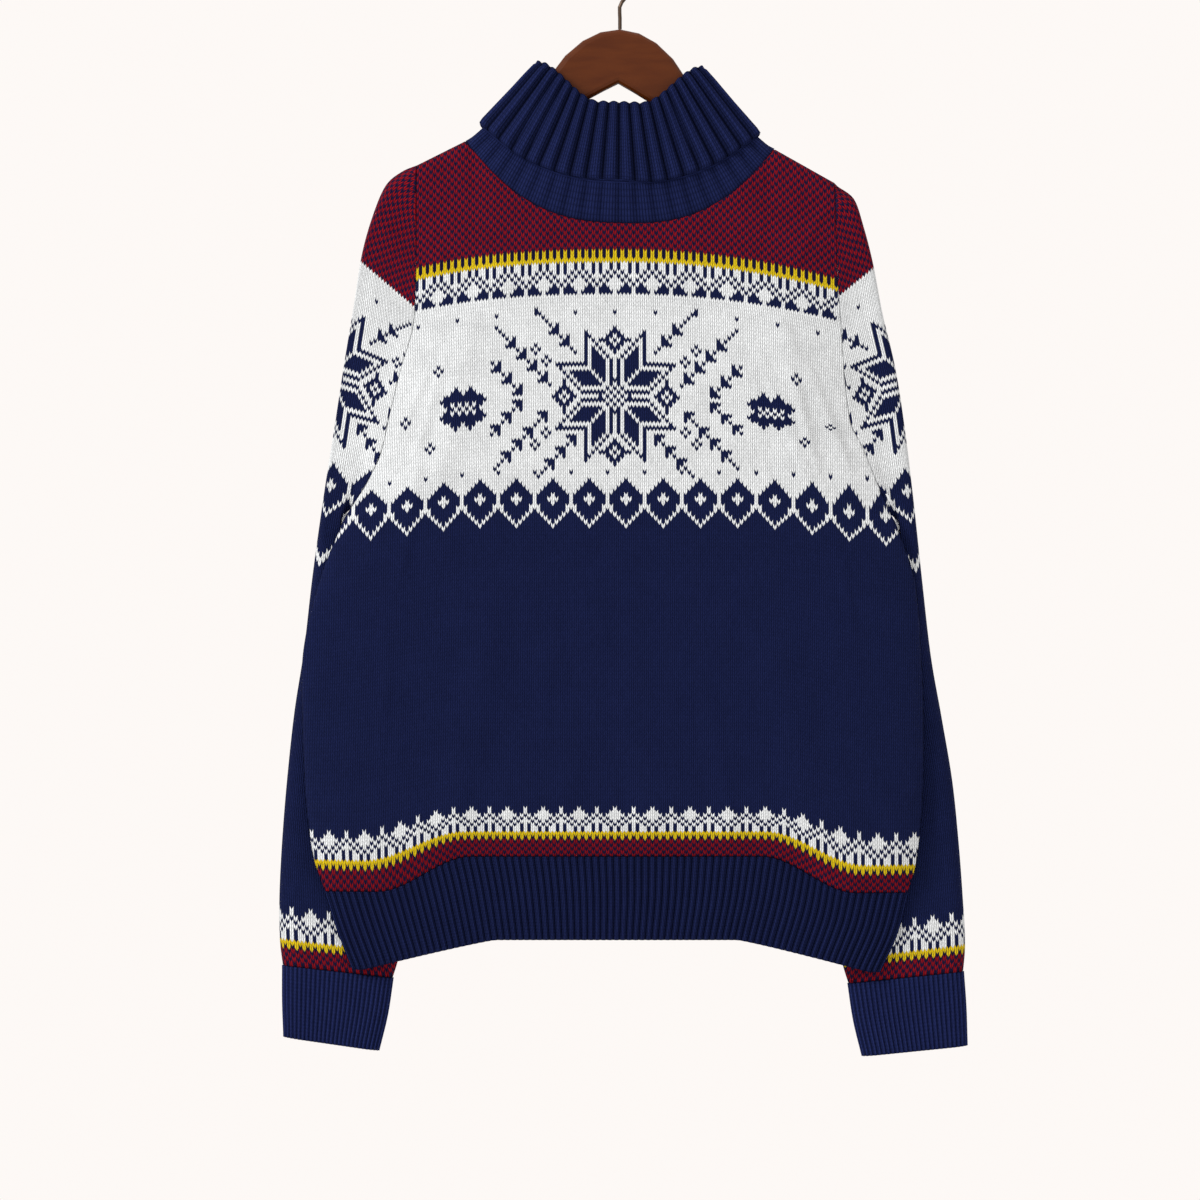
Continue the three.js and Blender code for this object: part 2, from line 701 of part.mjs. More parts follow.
function hangerWood(look) {
  const outline = new THREE.Shape();
  const upper = woodRows.map((row) => new THREE.Vector2(row.x, row.top - woodEdgeRound));
  const lower = woodRows.map((row) => new THREE.Vector2(row.x, row.under + woodEdgeRound));
  const mirror = (point) => new THREE.Vector2(-point.x, point.y);
  const right = upper.concat(lower.slice(1, -1).reverse());
  const left = lower.slice(1, -1).map(mirror).concat(upper.slice(1).reverse().map(mirror));
  outline.setFromPoints(right.concat([lower[0]], left));
  const geometry = new THREE.ExtrudeGeometry(outline, {
    depth: 2 * (woodHalfThickness - woodEdgeRound),
    bevelEnabled: true,
    bevelSize: woodEdgeRound,
    bevelThickness: woodEdgeRound,
    bevelSegments: 3,
    curveSegments: 1,
  });
  geometry.translate(0, 0, -(woodHalfThickness - woodEdgeRound));
  geometry.rotateX(Math.PI / 2);
  geometry.translate(0, 0, -crownTop);
  geometry.rotateY(hangerTilt);
  geometry.translate(0, 0, crownTop);
  const mesh = new THREE.Mesh(geometry, look);
  mesh.name = "hanger_wood";
  return mesh;
}

// Wire with its shank in the crown, an easy bend and a round hook open at the viewer's left
function hangerHook(look) {
  const radius = hookInnerRadius + wireRadius;
  const centre = -hookInnerRadius;
  const points = [
    new THREE.Vector3(0, 0, crownTop + seamGap),
    new THREE.Vector3(0, 0, crownTop + 10),
    new THREE.Vector3(0, 0, centre - 31),
    new THREE.Vector3(4, 0, centre - 25),
  ];
  for (let degrees = -50; degrees <= 200; degrees += 25) {
    const angle = THREE.MathUtils.degToRad(degrees);
    points.push(new THREE.Vector3(radius * Math.cos(angle), 0, centre + radius * Math.sin(angle)));
  }
  const section = new THREE.Shape();
  section.absarc(0, 0, wireRadius, 0, 2 * Math.PI);
  const geometry = new THREE.ExtrudeGeometry(section, {
    steps: 30,
    curveSegments: 4,
    extrudePath: new THREE.CatmullRomCurve3(points, false, "centripetal"),
  });
  const mesh = new THREE.Mesh(geometry, look);
  mesh.name = "hanger_hook";
  return mesh;
}

const jumper = new THREE.Group();
jumper.add(panel("front_panel", frontGrid, frontInside, -1, material(wool.white, 0.95, 0)));
jumper.add(panel("back_panel", backGrid, backInside, 1, material(wool.navy, 0.95, 0)));
jumper.add(sleeve("right_sleeve", -1, material(wool.navy, 0.95, 0)));
jumper.add(sleeve("left_sleeve", 1, material(wool.navy, 0.95, 0)));
jumper.add(cuff("right_cuff", -1, material(wool.navy, 0.95, 0)));
jumper.add(cuff("left_cuff", 1, material(wool.navy, 0.95, 0)));
jumper.add(hemRib("front_hem_rib", -1, material(wool.navy, 0.95, 0)));
jumper.add(hemRib("back_hem_rib", 1, material(wool.navy, 0.95, 0)));
jumper.add(rollCollar(material(wool.navy, 0.95, 0)));
jumper.add(hangerWood(material(0x6a3514, 0.35, 0)));
jumper.add(hangerHook(material(0x2b211a, 0.4, 1)));

export default jumper;
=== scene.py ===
import math
import random
from bisect import bisect_right

import bmesh
import bpy
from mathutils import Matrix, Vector
from mathutils.bvhtree import BVHTree
from mathutils.geometry import intersect_line_line_2d


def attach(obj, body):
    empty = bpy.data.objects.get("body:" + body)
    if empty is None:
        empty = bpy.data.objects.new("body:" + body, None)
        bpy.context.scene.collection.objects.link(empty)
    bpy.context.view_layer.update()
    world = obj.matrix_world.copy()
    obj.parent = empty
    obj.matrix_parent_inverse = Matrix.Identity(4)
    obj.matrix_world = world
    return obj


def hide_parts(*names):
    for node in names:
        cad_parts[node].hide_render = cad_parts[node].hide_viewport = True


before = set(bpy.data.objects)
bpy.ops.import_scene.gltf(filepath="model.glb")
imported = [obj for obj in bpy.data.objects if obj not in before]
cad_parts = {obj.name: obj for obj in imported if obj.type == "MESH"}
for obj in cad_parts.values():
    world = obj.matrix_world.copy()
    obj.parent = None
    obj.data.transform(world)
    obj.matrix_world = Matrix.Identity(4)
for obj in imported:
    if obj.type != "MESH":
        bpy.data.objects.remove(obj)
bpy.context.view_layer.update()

draw = random.Random(11)
mm = 0.001

# Lengths below are in millimetres, and points are made metres only when a mesh is written


def mix(a, b, share):
    return a + (b - a) * share


def clamp01(value):
    return min(1.0, max(0.0, value))


def soft(value):
    t = clamp01(value)
    return t * t * (3 - 2 * t)


def roundRise(value):
    rest = 1 - clamp01(value)
    return math.sqrt(1 - rest * rest)


def table(names, rows):
    return [dict(zip(names.split(), row)) for row in rows]


# A value between the rows of a table, straight or on a smooth curve; keys ascend
def valueAt(keys, values, at, smooth=True):
    at = min(max(at, keys[0]), keys[-1])
    i = min(max(bisect_right(keys, at), 1), len(keys) - 1)
    step = keys[i] - keys[i - 1]
    t = (at - keys[i - 1]) / step
    if not smooth:
        return mix(values[i - 1], values[i], t)

    def slope(k):
        a, b = max(k - 1, 0), min(k + 1, len(keys) - 1)
        return (values[b] - values[a]) / (keys[b] - keys[a])

    rise = slope(i - 1) * step * t * (1 - t) ** 2 - slope(i) * step * t * t * (1 - t)
    return mix(values[i - 1], values[i], soft(t)) + rise


# Body sections from the foot of the yoke down, the same as the solids have
bodyRows = table("mid leftX leftZ rightX rightZ front back side open roll", [
    (-249.6, -163.2, -264, 174.4, -272.8, -21, 14, -1, 10, 0),
    (-296, -165.6, -308.8, 177.6, -316.8, -22, 16, -1.5, 10, 0),
    (-332, -175.2, -342.4, 180, -352, -23, 17, -2, 10, 0),
    (-368, -184, -378.4, 184.8, -387.2, -24, 18, -2.5, 10, 0),
    (-399, -191.5, -411, 192.5, -402, -25, 18, -3, 9, 0),
    (-414, -197.5, -424.5, 199, -417, -25, 18, -3.5, 8.5, 0),
    (-427, -204, -437, 205, -432, -25, 18, -4, 8, 0),
    (-438, -210.5, -447, 211, -446, -25, 18, -4.5, 7, 0),
    (-446, -216, -455, 217, -459, -25, 18, -5, 4, 0.1),
    (-454, -221, -463, 221.5, -468, -25, 18, -9, 0, 1),
    (-496, -240, -511, 236, -512, -25, 18, -10, 0, 1),
    (-552, -253.6, -568, 241, -572, -26, 18, -10, 0, 1),
    (-608, -254.4, -622.4, 243.2, -624, -27, 18, -10, 0, 1),
    (-664, -252, -680, 242.4, -681.6, -29, 18, -10, 0, 1),
    (-694.4, -248.8, -714, 240, -716, -31, 18, -10, 0, 1),
    (-716, -244, -740, 236, -744, -29, 16, -10, 0, 1),
    (-732.8, -236, -761, 230.4, -762, -20, 11, -10, 0, 1),
])
yoke = {
    "half": 124, "side": {-1: -159.5, 1: -166}, "tip": {-1: (-163, -179), 1: (172, -193)},
    "drop": {-1: 64, 1: 14}, "depth": {-1: 19, 1: 14}, "curve": 2.65, "depthCurve": 6,
    "reach": 12, "over": 10, "fall": 1.2, "seam": 0.15, "height": 70,
}
hang = {"recess": -7.6, "margin": 20, "slope": 34, "bulge": {-1: 70, 1: 22}, "free": 30}
frontFolds = table("x slant top bottom half height", [
    (-118, -0.16, -500, -742, 26, 3.2),
    (20, 0.05, -560, -742, 34, 2.4),
    (138, 0.14, -520, -742, 28, 3.4),
    (-132, -0.2, -270, -470, 18, 2.2),
    (140, 0.22, -280, -480, 20, 2.4),
    (128, 0.4, -300, -450, 9, 2.2),
    (154, 0.46, -280, -440, 9, 2.4),
    (-176, -0.5, -330, -450, 9, 1.8),
    (-40, -0.05, -620, -742, 16, 1.6),
    (84, 0.08, -640, -742, 15, 1.8),
])
backFolds = table("x slant top bottom half height", [
    (-84, -0.1, -330, -742, 26, 3),
    (10, 0.04, -420, -742, 30, 2.4),
    (92, 0.1, -360, -742, 24, 3.2),
])
sleeveRows = table("outX outZ kneeX kneeZ inX inZ outMid inMid half bow wider lower fold", [
    (-175, -184, 0, 0, -221, -459.5, 0, 1, 10.6, 0.86, 0, 12, 60),
    (-188, -195, 0, 0, -223, -466, 0, 4, 11, 0.66, 0, 11, 50),
    (-198.4, -219, -226, -464, -219, -476, 0.5, 5, 11, 0.45, -3, 8, 40),
    (-207.2, -250, -227, -465, -210, -488, 1, 6, 11, 0.28, -4, 7, 34),
    (-213.6, -290, -228, -467, -199, -502, 2, 6.5, 11, 0.12, -3, 6, 28),
    (-221.6, -338, -229, -469, -188, -519, 3, 6.5, 10.5, 0, 0, 5, 26),
    (-229.6, -390, -231, -474, -177, -542, 4, 6.5, 10, 0, 0, 5, 24),
    (-238.4, -446, -232, -490, -168, -574, 4.5, 6, 10, 0, -2, 5, 22),
    (-247.2, -509, -232, -530, -162, -610, 5, 6, 10, 0, -4, 5, 20),
    (-254, -568, 0, 0, -160, -646, 5, 6, 10, 0, -4, 5, 18),
    (-261.6, -617, 0, 0, -161, -681, 5, 6, 10, 0, -3, 5, 16),
    (-267.2, -668, 0, 0, -164, -714, 5, 6, 10, 0, 0, 5, 16),
    (-271.2, -716, 0, 0, -168, -748, 5, 6, 10.5, 0, 1, 5, 16),
    (-273.6, -761, 0, 0, -172, -781, 5, 6, 11, 0, 2, 5, 16),
    (-273.6, -798, 0, 0, -177, -812, 5, 6, 10.5, 0, 4, 5, 16),
    (-271, -821, 0, 0, -182.5, -831, 5, 5.5, 9.5, 0, 5, 5, 16),
])
innerFold = {-1: (0, 0), 1: (1, 4.5)}  # how much wider and lower
cuffRows = table("outX outZ inX inZ half wider lower", [
    (-271, -821.3, -182.5, -831.3, 9.5, 5, 5),
    (-271, -850, -187, -861, 8.8, 7, 5),
    (-270, -879, -194, -890, 8.6, 9, 7),
])
hemRows = table("mid leftX leftZ rightX rightZ front back", [
    (-733, -236, -761.2, 230.4, -762.2, -20, 11),
    (-766, -226, -793, 222, -795, -18, 9),
    (-800, -214, -824, 208, -826, -16.5, 8),
])
wall = 2.2  # thickness of the knit

bodyKeys = [-row["mid"] for row in bodyRows]
straight = {"side", "open", "roll"}
rowsKept = {}


# The body's section whose middle is at mid, worked out once for each quarter millimetre
def rowAt(mid):
    key = round(mid * 4)
    if key not in rowsKept:
        rowsKept[key] = {
            name: valueAt(bodyKeys, [row[name] for row in bodyRows], -mid, name not in straight)
            for name in bodyRows[0]
        }
    return rowsKept[key]


# The height of the folds at a place, each of them a slanting ridge
def foldOffset(folds, x, z):
    offset = 0
    for fold in folds:
        middle = (fold["top"] + fold["bottom"]) / 2
        ridge = fold["x"] + fold["slant"] * (middle - z)
        away = abs(x - ridge) / fold["half"]
        along = abs(z - middle) / ((fold["top"] - fold["bottom"]) / 2)
        if away < 1 and along < 1:
            offset += fold["height"] * soft(1 - away) * soft(2 * (1 - along))
    return offset


# Fine creases of the cloth that only the looks have
creases = {
    -1: table("x slant top bottom half height", [
        (146, 0.26, -312, -446, 7, 1.9), (166, 0.4, -318, -436, 6, 1.6),
        (120, 0.12, -334, -452, 9, -1.1), (176, 0.2, -430, -566, 9, 1.9),
        (-150, -0.3, -312, -426, 8, 1.5), (-168, -0.15, -400, -524, 9, 1.7),
        (-192, -0.12, -560, -706, 10, 1.6), (-58, -0.1, -520, -650, 12, 1.1),
        (72, 0.12, -556, -700, 12, 1.2), (204, 0.1, -590, -724, 9, 1.6),
        (4, 0.02, -640, -740, 11, -0.8), (-118, 0.08, -600, -720, 10, -0.9),
        (-150, 0.5, -206, -268, 8, 1.2), (152, -0.5, -206, -266, 7, 1.3),
    ]),
    1: table("x slant top bottom half height", [
        (-140, -0.24, -314, -438, 8, 1.7), (-164, -0.34, -320, -430, 6, 1.4),
        (112, 0.14, -340, -470, 9, 1.2), (158, 0.26, -316, -420, 7, 1.6),
        (-180, -0.14, -440, -590, 9, 1.6), (186, 0.12, -480, -640, 10, 1.5),
        (-40, -0.06, -500, -660, 12, 1.1), (60, 0.1, -580, -720, 11, -0.9),
        (0, 0.03, -420, -520, 13, 0.9),
    ]),
}
creaseEnd = {"side": 198, "sideFade": 14, "foot": -744, "footFade": 20}


# How far a crease lifts a point of a panel
def creased(point, facing):
    room = clamp01((creaseEnd["side"] - abs(point.x)) / creaseEnd["sideFade"])
    room *= clamp01((point.z - creaseEnd["foot"]) / creaseEnd["footFade"])
    return facing * room * foldOffset(creases[facing], point.x, point.z)


foldLines = {
    side: [
        (-side * row["inX"] + innerFold[side][0], row["inZ"] - innerFold[side][1])
        for row in sleeveRows
    ]
    for side in (-1, 1)
}


# The x of a sleeve's inner fold, where it lies over the body
def sleeveInnerX(side, z):
    line = foldLines[side]
    if z > line[0][1]:
        return side * 400
    return valueAt([-p[1] for p in line], [p[0] for p in line], -z, False)


# The height of a section at a share of its width: level in the middle and lower at the sides
def sectionZ(row, share):
    across = abs(2 * share - 1)
    low = soft((-row["mid"] - 600) / 130)  # 1 in the lower body
    hem = clamp01((-row["mid"] - 738) / 50)  # 1 in the hem
    start, end = mix(0.45, 0.5, low), mix(mix(1, 0.82, low), 1.0, hem)
    straightHem = clamp01((across - 0.46) / 0.5) ** 1.1
    droop = mix(soft((across - start) / (end - start)), straightHem, hem)
    high = soft((row["mid"] + 460) / 100)  # 1 beside the armholes
    droop = mix(droop, across ** (2.6 if share < 0.5 else 1.9), high)
    endZ = row["leftZ"] if share < 0.5 else row["rightZ"]
    return mix(row["mid"], endZ, droop)


# A point of a section at a share of its width, on the front or the back
def sectionPoint(row, share, facing):
    x = mix(row["leftX"], row["rightX"], share)
    z = sectionZ(row, share)
    inward = min(x - row["leftX"], row["rightX"] - x)
    edge = row["side"] + facing * max(row["open"], yoke["seam"])
    power = 1 - 0.5 * row["roll"]

    def bulged(reach):
        return (1 - (1 - clamp01(inward / reach)) ** 2) ** power

    away = soft(inward / hang["free"])
    if facing < 0:
        y = mix(edge, row["front"], bulged(hang["bulge"][-1]))
        return Vector((x, y - foldOffset(frontFolds, x, z) * away, z))
    free = mix(edge, row["back"], bulged(hang["bulge"][-1]))
    free += foldOffset(backFolds, x, z) * away
    held = mix(edge, hang["recess"], bulged(hang["bulge"][1]))
    side = 1 if x > 0 else -1
    beyond = side * (x - sleeveInnerX(side, z)) + hang["margin"]
    pressed = 0 if row["open"] > 0 else soft((beyond + hang["slope"]) / hang["slope"])
    return Vector((x, mix(free, held, pressed), z))


# The top line of a panel: shoulder, neckline, shoulder
def topPoint(x, facing):
    side = -1 if x < 0 else 1
    tipX, tipZ = yoke["tip"][side]
    if abs(x) >= yoke["half"]:
        share = (abs(tipX) - abs(x)) / (abs(tipX) - yoke["half"])
        return Vector((x, facing * yoke["seam"], mix(tipZ, yoke["side"][side], share)))
    across = x / yoke["half"]
    base = mix(yoke["side"][-1], yoke["side"][1], (across + 1) / 2)
    bulge = math.sqrt(1 - across ** yoke["depthCurve"])
    y = facing * (yoke["seam"] + yoke["depth"][facing] * bulge)
    return Vector((x, y, base - yoke["drop"][facing] * (1 - abs(across) ** yoke["curve"])))


yokeFoot = bodyRows[0]["mid"]


# A point of a panel at x on the knitted row whose middle is at mid, and whether it is at the side
# or on the top line
def panelPoint(x, mid, facing):
    row = rowAt(min(mid, yokeFoot))
    left, right = row["leftX"], row["rightX"]
    if mid > yokeFoot:
        up = clamp01((mid - yokeFoot) / yoke["height"])
        left, right = mix(left, yoke["tip"][-1][0], up), mix(right, yoke["tip"][1][0], up)
    atSide = -1 if x <= left else 1 if x >= right else 0
    x = min(max(x, left), right)
    share = clamp01((x - row["leftX"]) / (row["rightX"] - row["leftX"]))
    foot = sectionPoint(row, share, facing)
    if mid <= yokeFoot:
        return foot, atSide, False
    top = topPoint(x, facing)
    z = foot.z + mid - yokeFoot
    atTop = z >= top.z
    z = min(z, top.z)
    fall = clamp01((top.z - z) / (top.z - foot.z))
    over = yoke["over"] * roundRise((top.z - z) / yoke["reach"])
    room = clamp01(1 - abs(top.y) / yoke["over"])
    y = mix(top.y + facing * over * room, foot.y, fall ** yoke["fall"])
    return Vector((x, y, z)), atSide, atTop


# Colours and charts. A chart row is read from a stitch and a row number
dyes = {
    "navy": (0.0088, 0.0135, 0.058), "white": (0.84, 0.87, 0.885), "yellow": (0.7, 0.51, 0.012),
    "red": (0.225, 0.006, 0.013), "dark": (0.01, 0.0085, 0.036),
}
bandChart = [
    ".#..#.#..#",
    ".#..#.#..#",
    "#.#.#.#.#.",
    ".#.#...#.#",
    "..#.#.#.#.",
    "...#.#.#..",
    "..###.###.",
    ".####.####",
]


def inBand(c, k):
    return "navy" if bandChart[k][c % 10] == "#" else "white"


def inYoke(c, r):
    return "dark" if (c + r) % 2 == 0 else "red"


# The band, ticks and yoke; up counts from the band's first row and the ticks end at last
def inBorder(c, up, last=10):
    if up < 8:
        return inBand(c, 7 - up)
    if up == 8:
        return "yellow"
    if up <= last:
        return "yellow" if c % 2 == 0 else "dark"
    return inYoke(c, up)


# Whether a stitch is navy in the star, counted from its middle
def isStar(i, j):
    low, high = sorted((abs(i), abs(j)))
    if low + high <= 4:
        return (low + high) % 2 == 0
    if low == 1 and high <= 9 or high - low == 8 and 1 <= low <= 8 or low == 8 and high <= 16:
        return True
    if 3 <= low <= 6 and 1 <= high - low <= 6:
        return True
    return low + abs(high - 14) in (0, 2, 3) or high == 14 and low == 4


# Navy stitches of a twig: arrowheads that point at the star, then a thin diagonal tail
def twig(c, r, across, up, leaves, tail):
    cells = set()
    for k in range(leaves):
        a, b = c - 3 * k * across, r - 3 * k * up
        cells |= {(a, b), (a - across, b), (a, b - up), (a - 2 * across, b), (a, b - 2 * up)}
        cells |= {(a - across, b - up), (a - 2 * across, b - 2 * up)}
    for k in range(3 * leaves - 1, 3 * leaves + tail):
        cells.add((c - k * across, r - k * up))
    return cells


def smallCross(c, r):
    return {(c - 1, r), (c + 1, r), (c, r - 1), (c, r + 1)}


# A little rose with pointed leaves all round and a checkered middle
def rose(c, r):
    reach = (4, 5, 6, 5, 3, 2)
    cells = set()
    for i in range(-6, 7):
        for k in range(-5, 6):
            up = abs(k)
            solid = abs(i) <= reach[up] and not (up >= 4 and abs(i) < up - 3)
            if solid and not (up <= 1 and abs(i) <= 3 and (i + k) % 2 == 0):
                cells.add((c + i, r + k))
    return cells


halfField = (
    twig(-13, 13, 1, -1, 2, 4) | {(-12, 12), (-11, 11)}
    | twig(-19, 4, 1, -1, 4, 3) | {(-18, 3)}
    | twig(-26, 1, 1, -1, 3, 0) | twig(-26, -1, 1, 1, 3, 0)
    | twig(-19, -4, 1, 1, 1, 3) | twig(-23, -8, 1, 1, 3, 2)
    | twig(-11, -10, 1, 1, 3, 2)
    | smallCross(-22, 12) | smallCross(-19, 9) | smallCross(-19, -9) | smallCross(-22, -12)
)
farField = smallCross(-49, 8) | smallCross(-58, -4) | smallCross(-51, -11) | rose(-42, -2)
fieldCells = {(side * c, r) for side in (-1, 1) for c, r in halfField}
roseCells = {(side * c, r) for side in (-1, 1) for c, r in farField}


def inField(c, j):
    if isStar(c, j) or (c, j) in fieldCells or (c, j) in roseCells:
        return "navy"
    return "navy" if j == 21 and c % 11 == 0 or j == -19 and (c - 8) % 10 == 0 else "white"


# Stitches from the middle of the nearest hexagon
def fromMiddle(c):
    return abs((c - 3 + 5) % 10 - 5)


# Hexagons that end in a zigzag; down counts from their top row
def inHexagons(c, down):
    k = fromMiddle(c)
    if down <= 6:
        if k == 0 and 4 <= down <= 6 or k <= 1 and down == 5:
            return "white"
        return "navy" if k <= min(down, 4) else "white"
    if down == 7:
        return "white" if k >= 4 else "navy"
    return "white" if k == 12 - down else "navy"


# Where the zones of colour begin: rows of the body from the hem up, and rows of a sleeve from the
# cuff up (border) or from the yoke down
bodyZones = {"plain": 15, "hexagons": 85, "field": 98, "star": 118, "border": 144}
sleeveZones = {"border": 14, "star": 28, "dots": 6, "field": 49, "hexagons": 62, "zigzag": 73}


def bodyColour(c, r):
    if r >= bodyZones["border"]:
        return inBorder(c, r - bodyZones["border"])
    if r >= bodyZones["field"]:
        return inField(c, r - bodyZones["star"])
    if r >= bodyZones["hexagons"]:
        return inHexagons(c, bodyZones["field"] - 1 - r)
    if r >= bodyZones["plain"]:
        return "navy"
    return inBorder(c, bodyZones["plain"] - 1 - r, 9)


def sleeveColour(c, rowsUp, rowsDown):
    if rowsUp < sleeveZones["border"]:
        return inBorder(c, sleeveZones["border"] - 1 - rowsUp, 9)
    if rowsDown < 0:
        return inYoke(c, rowsUp)
    if rowsDown < sleeveZones["field"]:
        i, j = c + 3, sleeveZones["star"] - rowsDown
        dot = rowsDown == sleeveZones["dots"] and i % 11 == 0
        return "navy" if isStar(i, j) or (i, j) in fieldCells or dot else "white"
    if rowsDown < sleeveZones["hexagons"]:
        return inHexagons(c, rowsDown - sleeveZones["field"])
    up = sleeveZones["zigzag"] - rowsDown
    return "white" if 0 <= up <= 6 and fromMiddle(c) in (up, up - 1) else "navy"


# A cloth is points, faces, the stitch place of each face corner and a colour for each face
def newCloth():
    return {"points": [], "faces": [], "uv": [], "dye": [], "known": {}}


# Points that round to the same fortieth of a millimetre are one
def addPoint(cloth, point):
    key = tuple(round(v * 40) for v in point)
    if key not in cloth["known"]:
        cloth["known"][key] = len(cloth["points"])
        cloth["points"].append(Vector(point))
    return cloth["known"][key]


def addFace(cloth, corners, uv, dye):
    kept = [k for k in range(len(corners)) if corners[k] != corners[k - 1]]
    if len(set(corners[k] for k in kept)) < len(kept) or len(kept) < 3:
        return
    cloth["faces"].append([corners[k] for k in kept])
    cloth["uv"].append([uv[k] for k in kept])
    cloth["dye"].append(dye)


# A face that shows no stitches
def addPlain(cloth, corners, dye):
    addFace(cloth, corners, [(0.5, 0.5)] * len(corners), dye)


# A dye a little lighter or darker, as no two stitches are alike; shade, where given, is painted
# shade from the ribs
def uneven(tone, spread, shade=1):
    shade = shade * (1 + draw.uniform(-spread, spread))
    return tuple(v * shade for v in tone)


# Two strips of points joined by triangles
def stitchRows(cloth, upper, lower, ring, dye):
    upperSteps = len(upper) if ring else len(upper) - 1
    lowerSteps = len(lower) if ring else len(lower) - 1
    a = b = 0
    while a < upperSteps or b < lowerSteps:
        here, below = upper[a % len(upper)], lower[b % len(lower)]
        behind = (a + 1) * lowerSteps <= (b + 1) * upperSteps
        if b >= lowerSteps or (a < upperSteps and behind):
            a += 1
            addPlain(cloth, [here, below, upper[a % len(upper)]], dye)
        else:
            b += 1
            addPlain(cloth, [here, below, lower[b % len(lower)]], dye)


# The open edges of faces as closed loops of point numbers, the longest first
def openLoops(faces):
    used = {}
    for face in faces:
        for k in range(len(face)):
            edge = frozenset((face[k - 1], face[k]))
            used[edge] = used.get(edge, 0) + 1
    after = {}
    for face in faces:
        for k in range(len(face)):
            if used[frozenset((face[k - 1], face[k]))] == 1:
                after.setdefault(face[k - 1], []).append(face[k])
    loops = []
    while after:
        start = next(iter(after))
        loop, here = [start], start
        while True:
            nexts = after.get(here)
            if not nexts:
                break
            there = nexts.pop()
            if not nexts:
                del after[here]
            if there == start:
                break
            loop.append(there)
            here = there
        loops.append(loop)
    return sorted(loops, key=len, reverse=True)


# Joins two loops that run close to each other, whatever their counts
def bridge(cloth, first, second):
    points = cloth["points"]

    def gap(a, b):
        return (points[a] - points[b]).length

    start = min(range(len(second)), key=lambda k: gap(second[k], first[0]))
    second = second[start:] + second[:start]
    mark, eighth = first[len(first) // 8], len(second) // 8
    if gap(second[-eighth], mark) < gap(second[eighth], mark):
        second = [second[0]] + second[1:][::-1]
    a = b = 0
    while a < len(first) or b < len(second):
        here, there = first[a % len(first)], second[b % len(second)]
        nextA, nextB = first[(a + 1) % len(first)], second[(b + 1) % len(second)]
        gapA = gap(nextA, there) if a < len(first) else math.inf
        gapB = gap(nextB, here) if b < len(second) else math.inf
        if gapA <= gapB:
            corners = [here, there, nextA]
            a += 1
        else:
            corners = [here, there, nextB]
            b += 1
        addPlain(cloth, corners, zoneDye(cloth, corners))


insideZones = {"red": -256, "white": -440}  # the lowest height of each colour; navy below


# Faces that show no stitches, such as the inside, take the colour of the rows around them
def zoneDye(cloth, corners):
    z = sum(cloth["points"][k].z for k in corners) / len(corners)
    return dyes[next((name for name, low in insideZones.items() if z > low), "navy")]


# The finished piece of a cloth, which stands for one CAD node
def makePiece(name, cloth, node):
    mesh = bpy.data.meshes.new(name)
    mesh.from_pydata([tuple(p * mm) for p in cloth["points"]], [], cloth["faces"])
    layer = mesh.uv_layers.new(name="stitches")
    layer.data.foreach_set("uv", [v for face in cloth["uv"] for pair in face for v in pair])
    tint = mesh.color_attributes.new("dye", "FLOAT_COLOR", "CORNER")
    values = []
    for face, dye in zip(cloth["faces"], cloth["dye"]):
        values += [*dye, 1.0] * len(face)
    tint.data.foreach_set("color", values)
    work = bmesh.new()
    work.from_mesh(mesh)
    bmesh.ops.recalc_face_normals(work, faces=work.faces)
    work.to_mesh(mesh)
    work.free()
    mesh.polygons.foreach_set("use_smooth", [True] * len(mesh.polygons))
    mesh.materials.append(knit)
    piece = bpy.data.objects.new(name, mesh)
    bpy.context.scene.collection.objects.link(piece)
    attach(piece, "root")
    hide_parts(node)
    triangles = sum(len(face) - 2 for face in cloth["faces"])
    print(name, len(mesh.vertices), "points", triangles, "triangles")
    return piece


# Outward normal of a grid of points
def gridNormal(grid, r, c, ring):
    count = len(grid[r])
    before = (c - 1) % count if ring else max(0, c - 1)
    after = (c + 1) % count if ring else min(count - 1, c + 1)
    down = grid[min(len(grid) - 1, r + 1)][c] - grid[max(0, r - 1)][c]
    return down.cross(grid[r][after] - grid[r][before]).normalized()


# The way along a line to each of its points
def waysAlong(line):
    ways = [0]
    for i in range(1, len(line)):
        ways.append(ways[-1] + (line[i] - line[i - 1]).length)
    return ways


def pointAlong(line, share):
    ways = waysAlong(line)
    goal = clamp01(share) * ways[-1]
    i = min(max(bisect_right(ways, goal), 1), len(line) - 1)
    return line[i - 1].lerp(line[i], (goal - ways[i - 1]) / (ways[i] - ways[i - 1]))


# Body. Where its knitted rows and columns lie: rows by heights in pixels of the photograph, and the
# width of a stitch on each side of the middle
rowKnots = table("row height", [
    (0, 858), (4, 844), (7, 832), (15, 808), (85, 529),
    (98, 480), (144, 296), (152, 264), (155, 252), (184, 136),
])
pitchKnots = table("row left right", [
    (0, 2.84, 3.0), (85, 2.91, 2.97), (118, 2.88, 2.97),
    (139, 2.86, 2.95), (148, 2.83, 3.0), (190, 2.83, 3.0),
])
photo = {"above": 60, "scale": 0.8}  # pixels from its top to the origin, and millimetres to a pixel
bodyCentre = -5.6
topRow, topPitch = 196, 3.2
firstHalf, lastHalf = -184, 176  # half stitches from the middle
vRise = 0.8  # how far the sides of a stitch stand above its middle, in rows
bodySpread = 0.07  # how much lighter or darker a stitch is


def rowMiddle(r):
    keys = [knot["row"] for knot in rowKnots]
    heights = [-(knot["height"] + photo["above"]) * photo["scale"] for knot in rowKnots]
    if r > keys[-1]:
        return heights[-1] + (r - keys[-1]) * topPitch
    if r <= 0:
        return bodyRows[-1]["mid"]
    return valueAt(keys, heights, r, False)


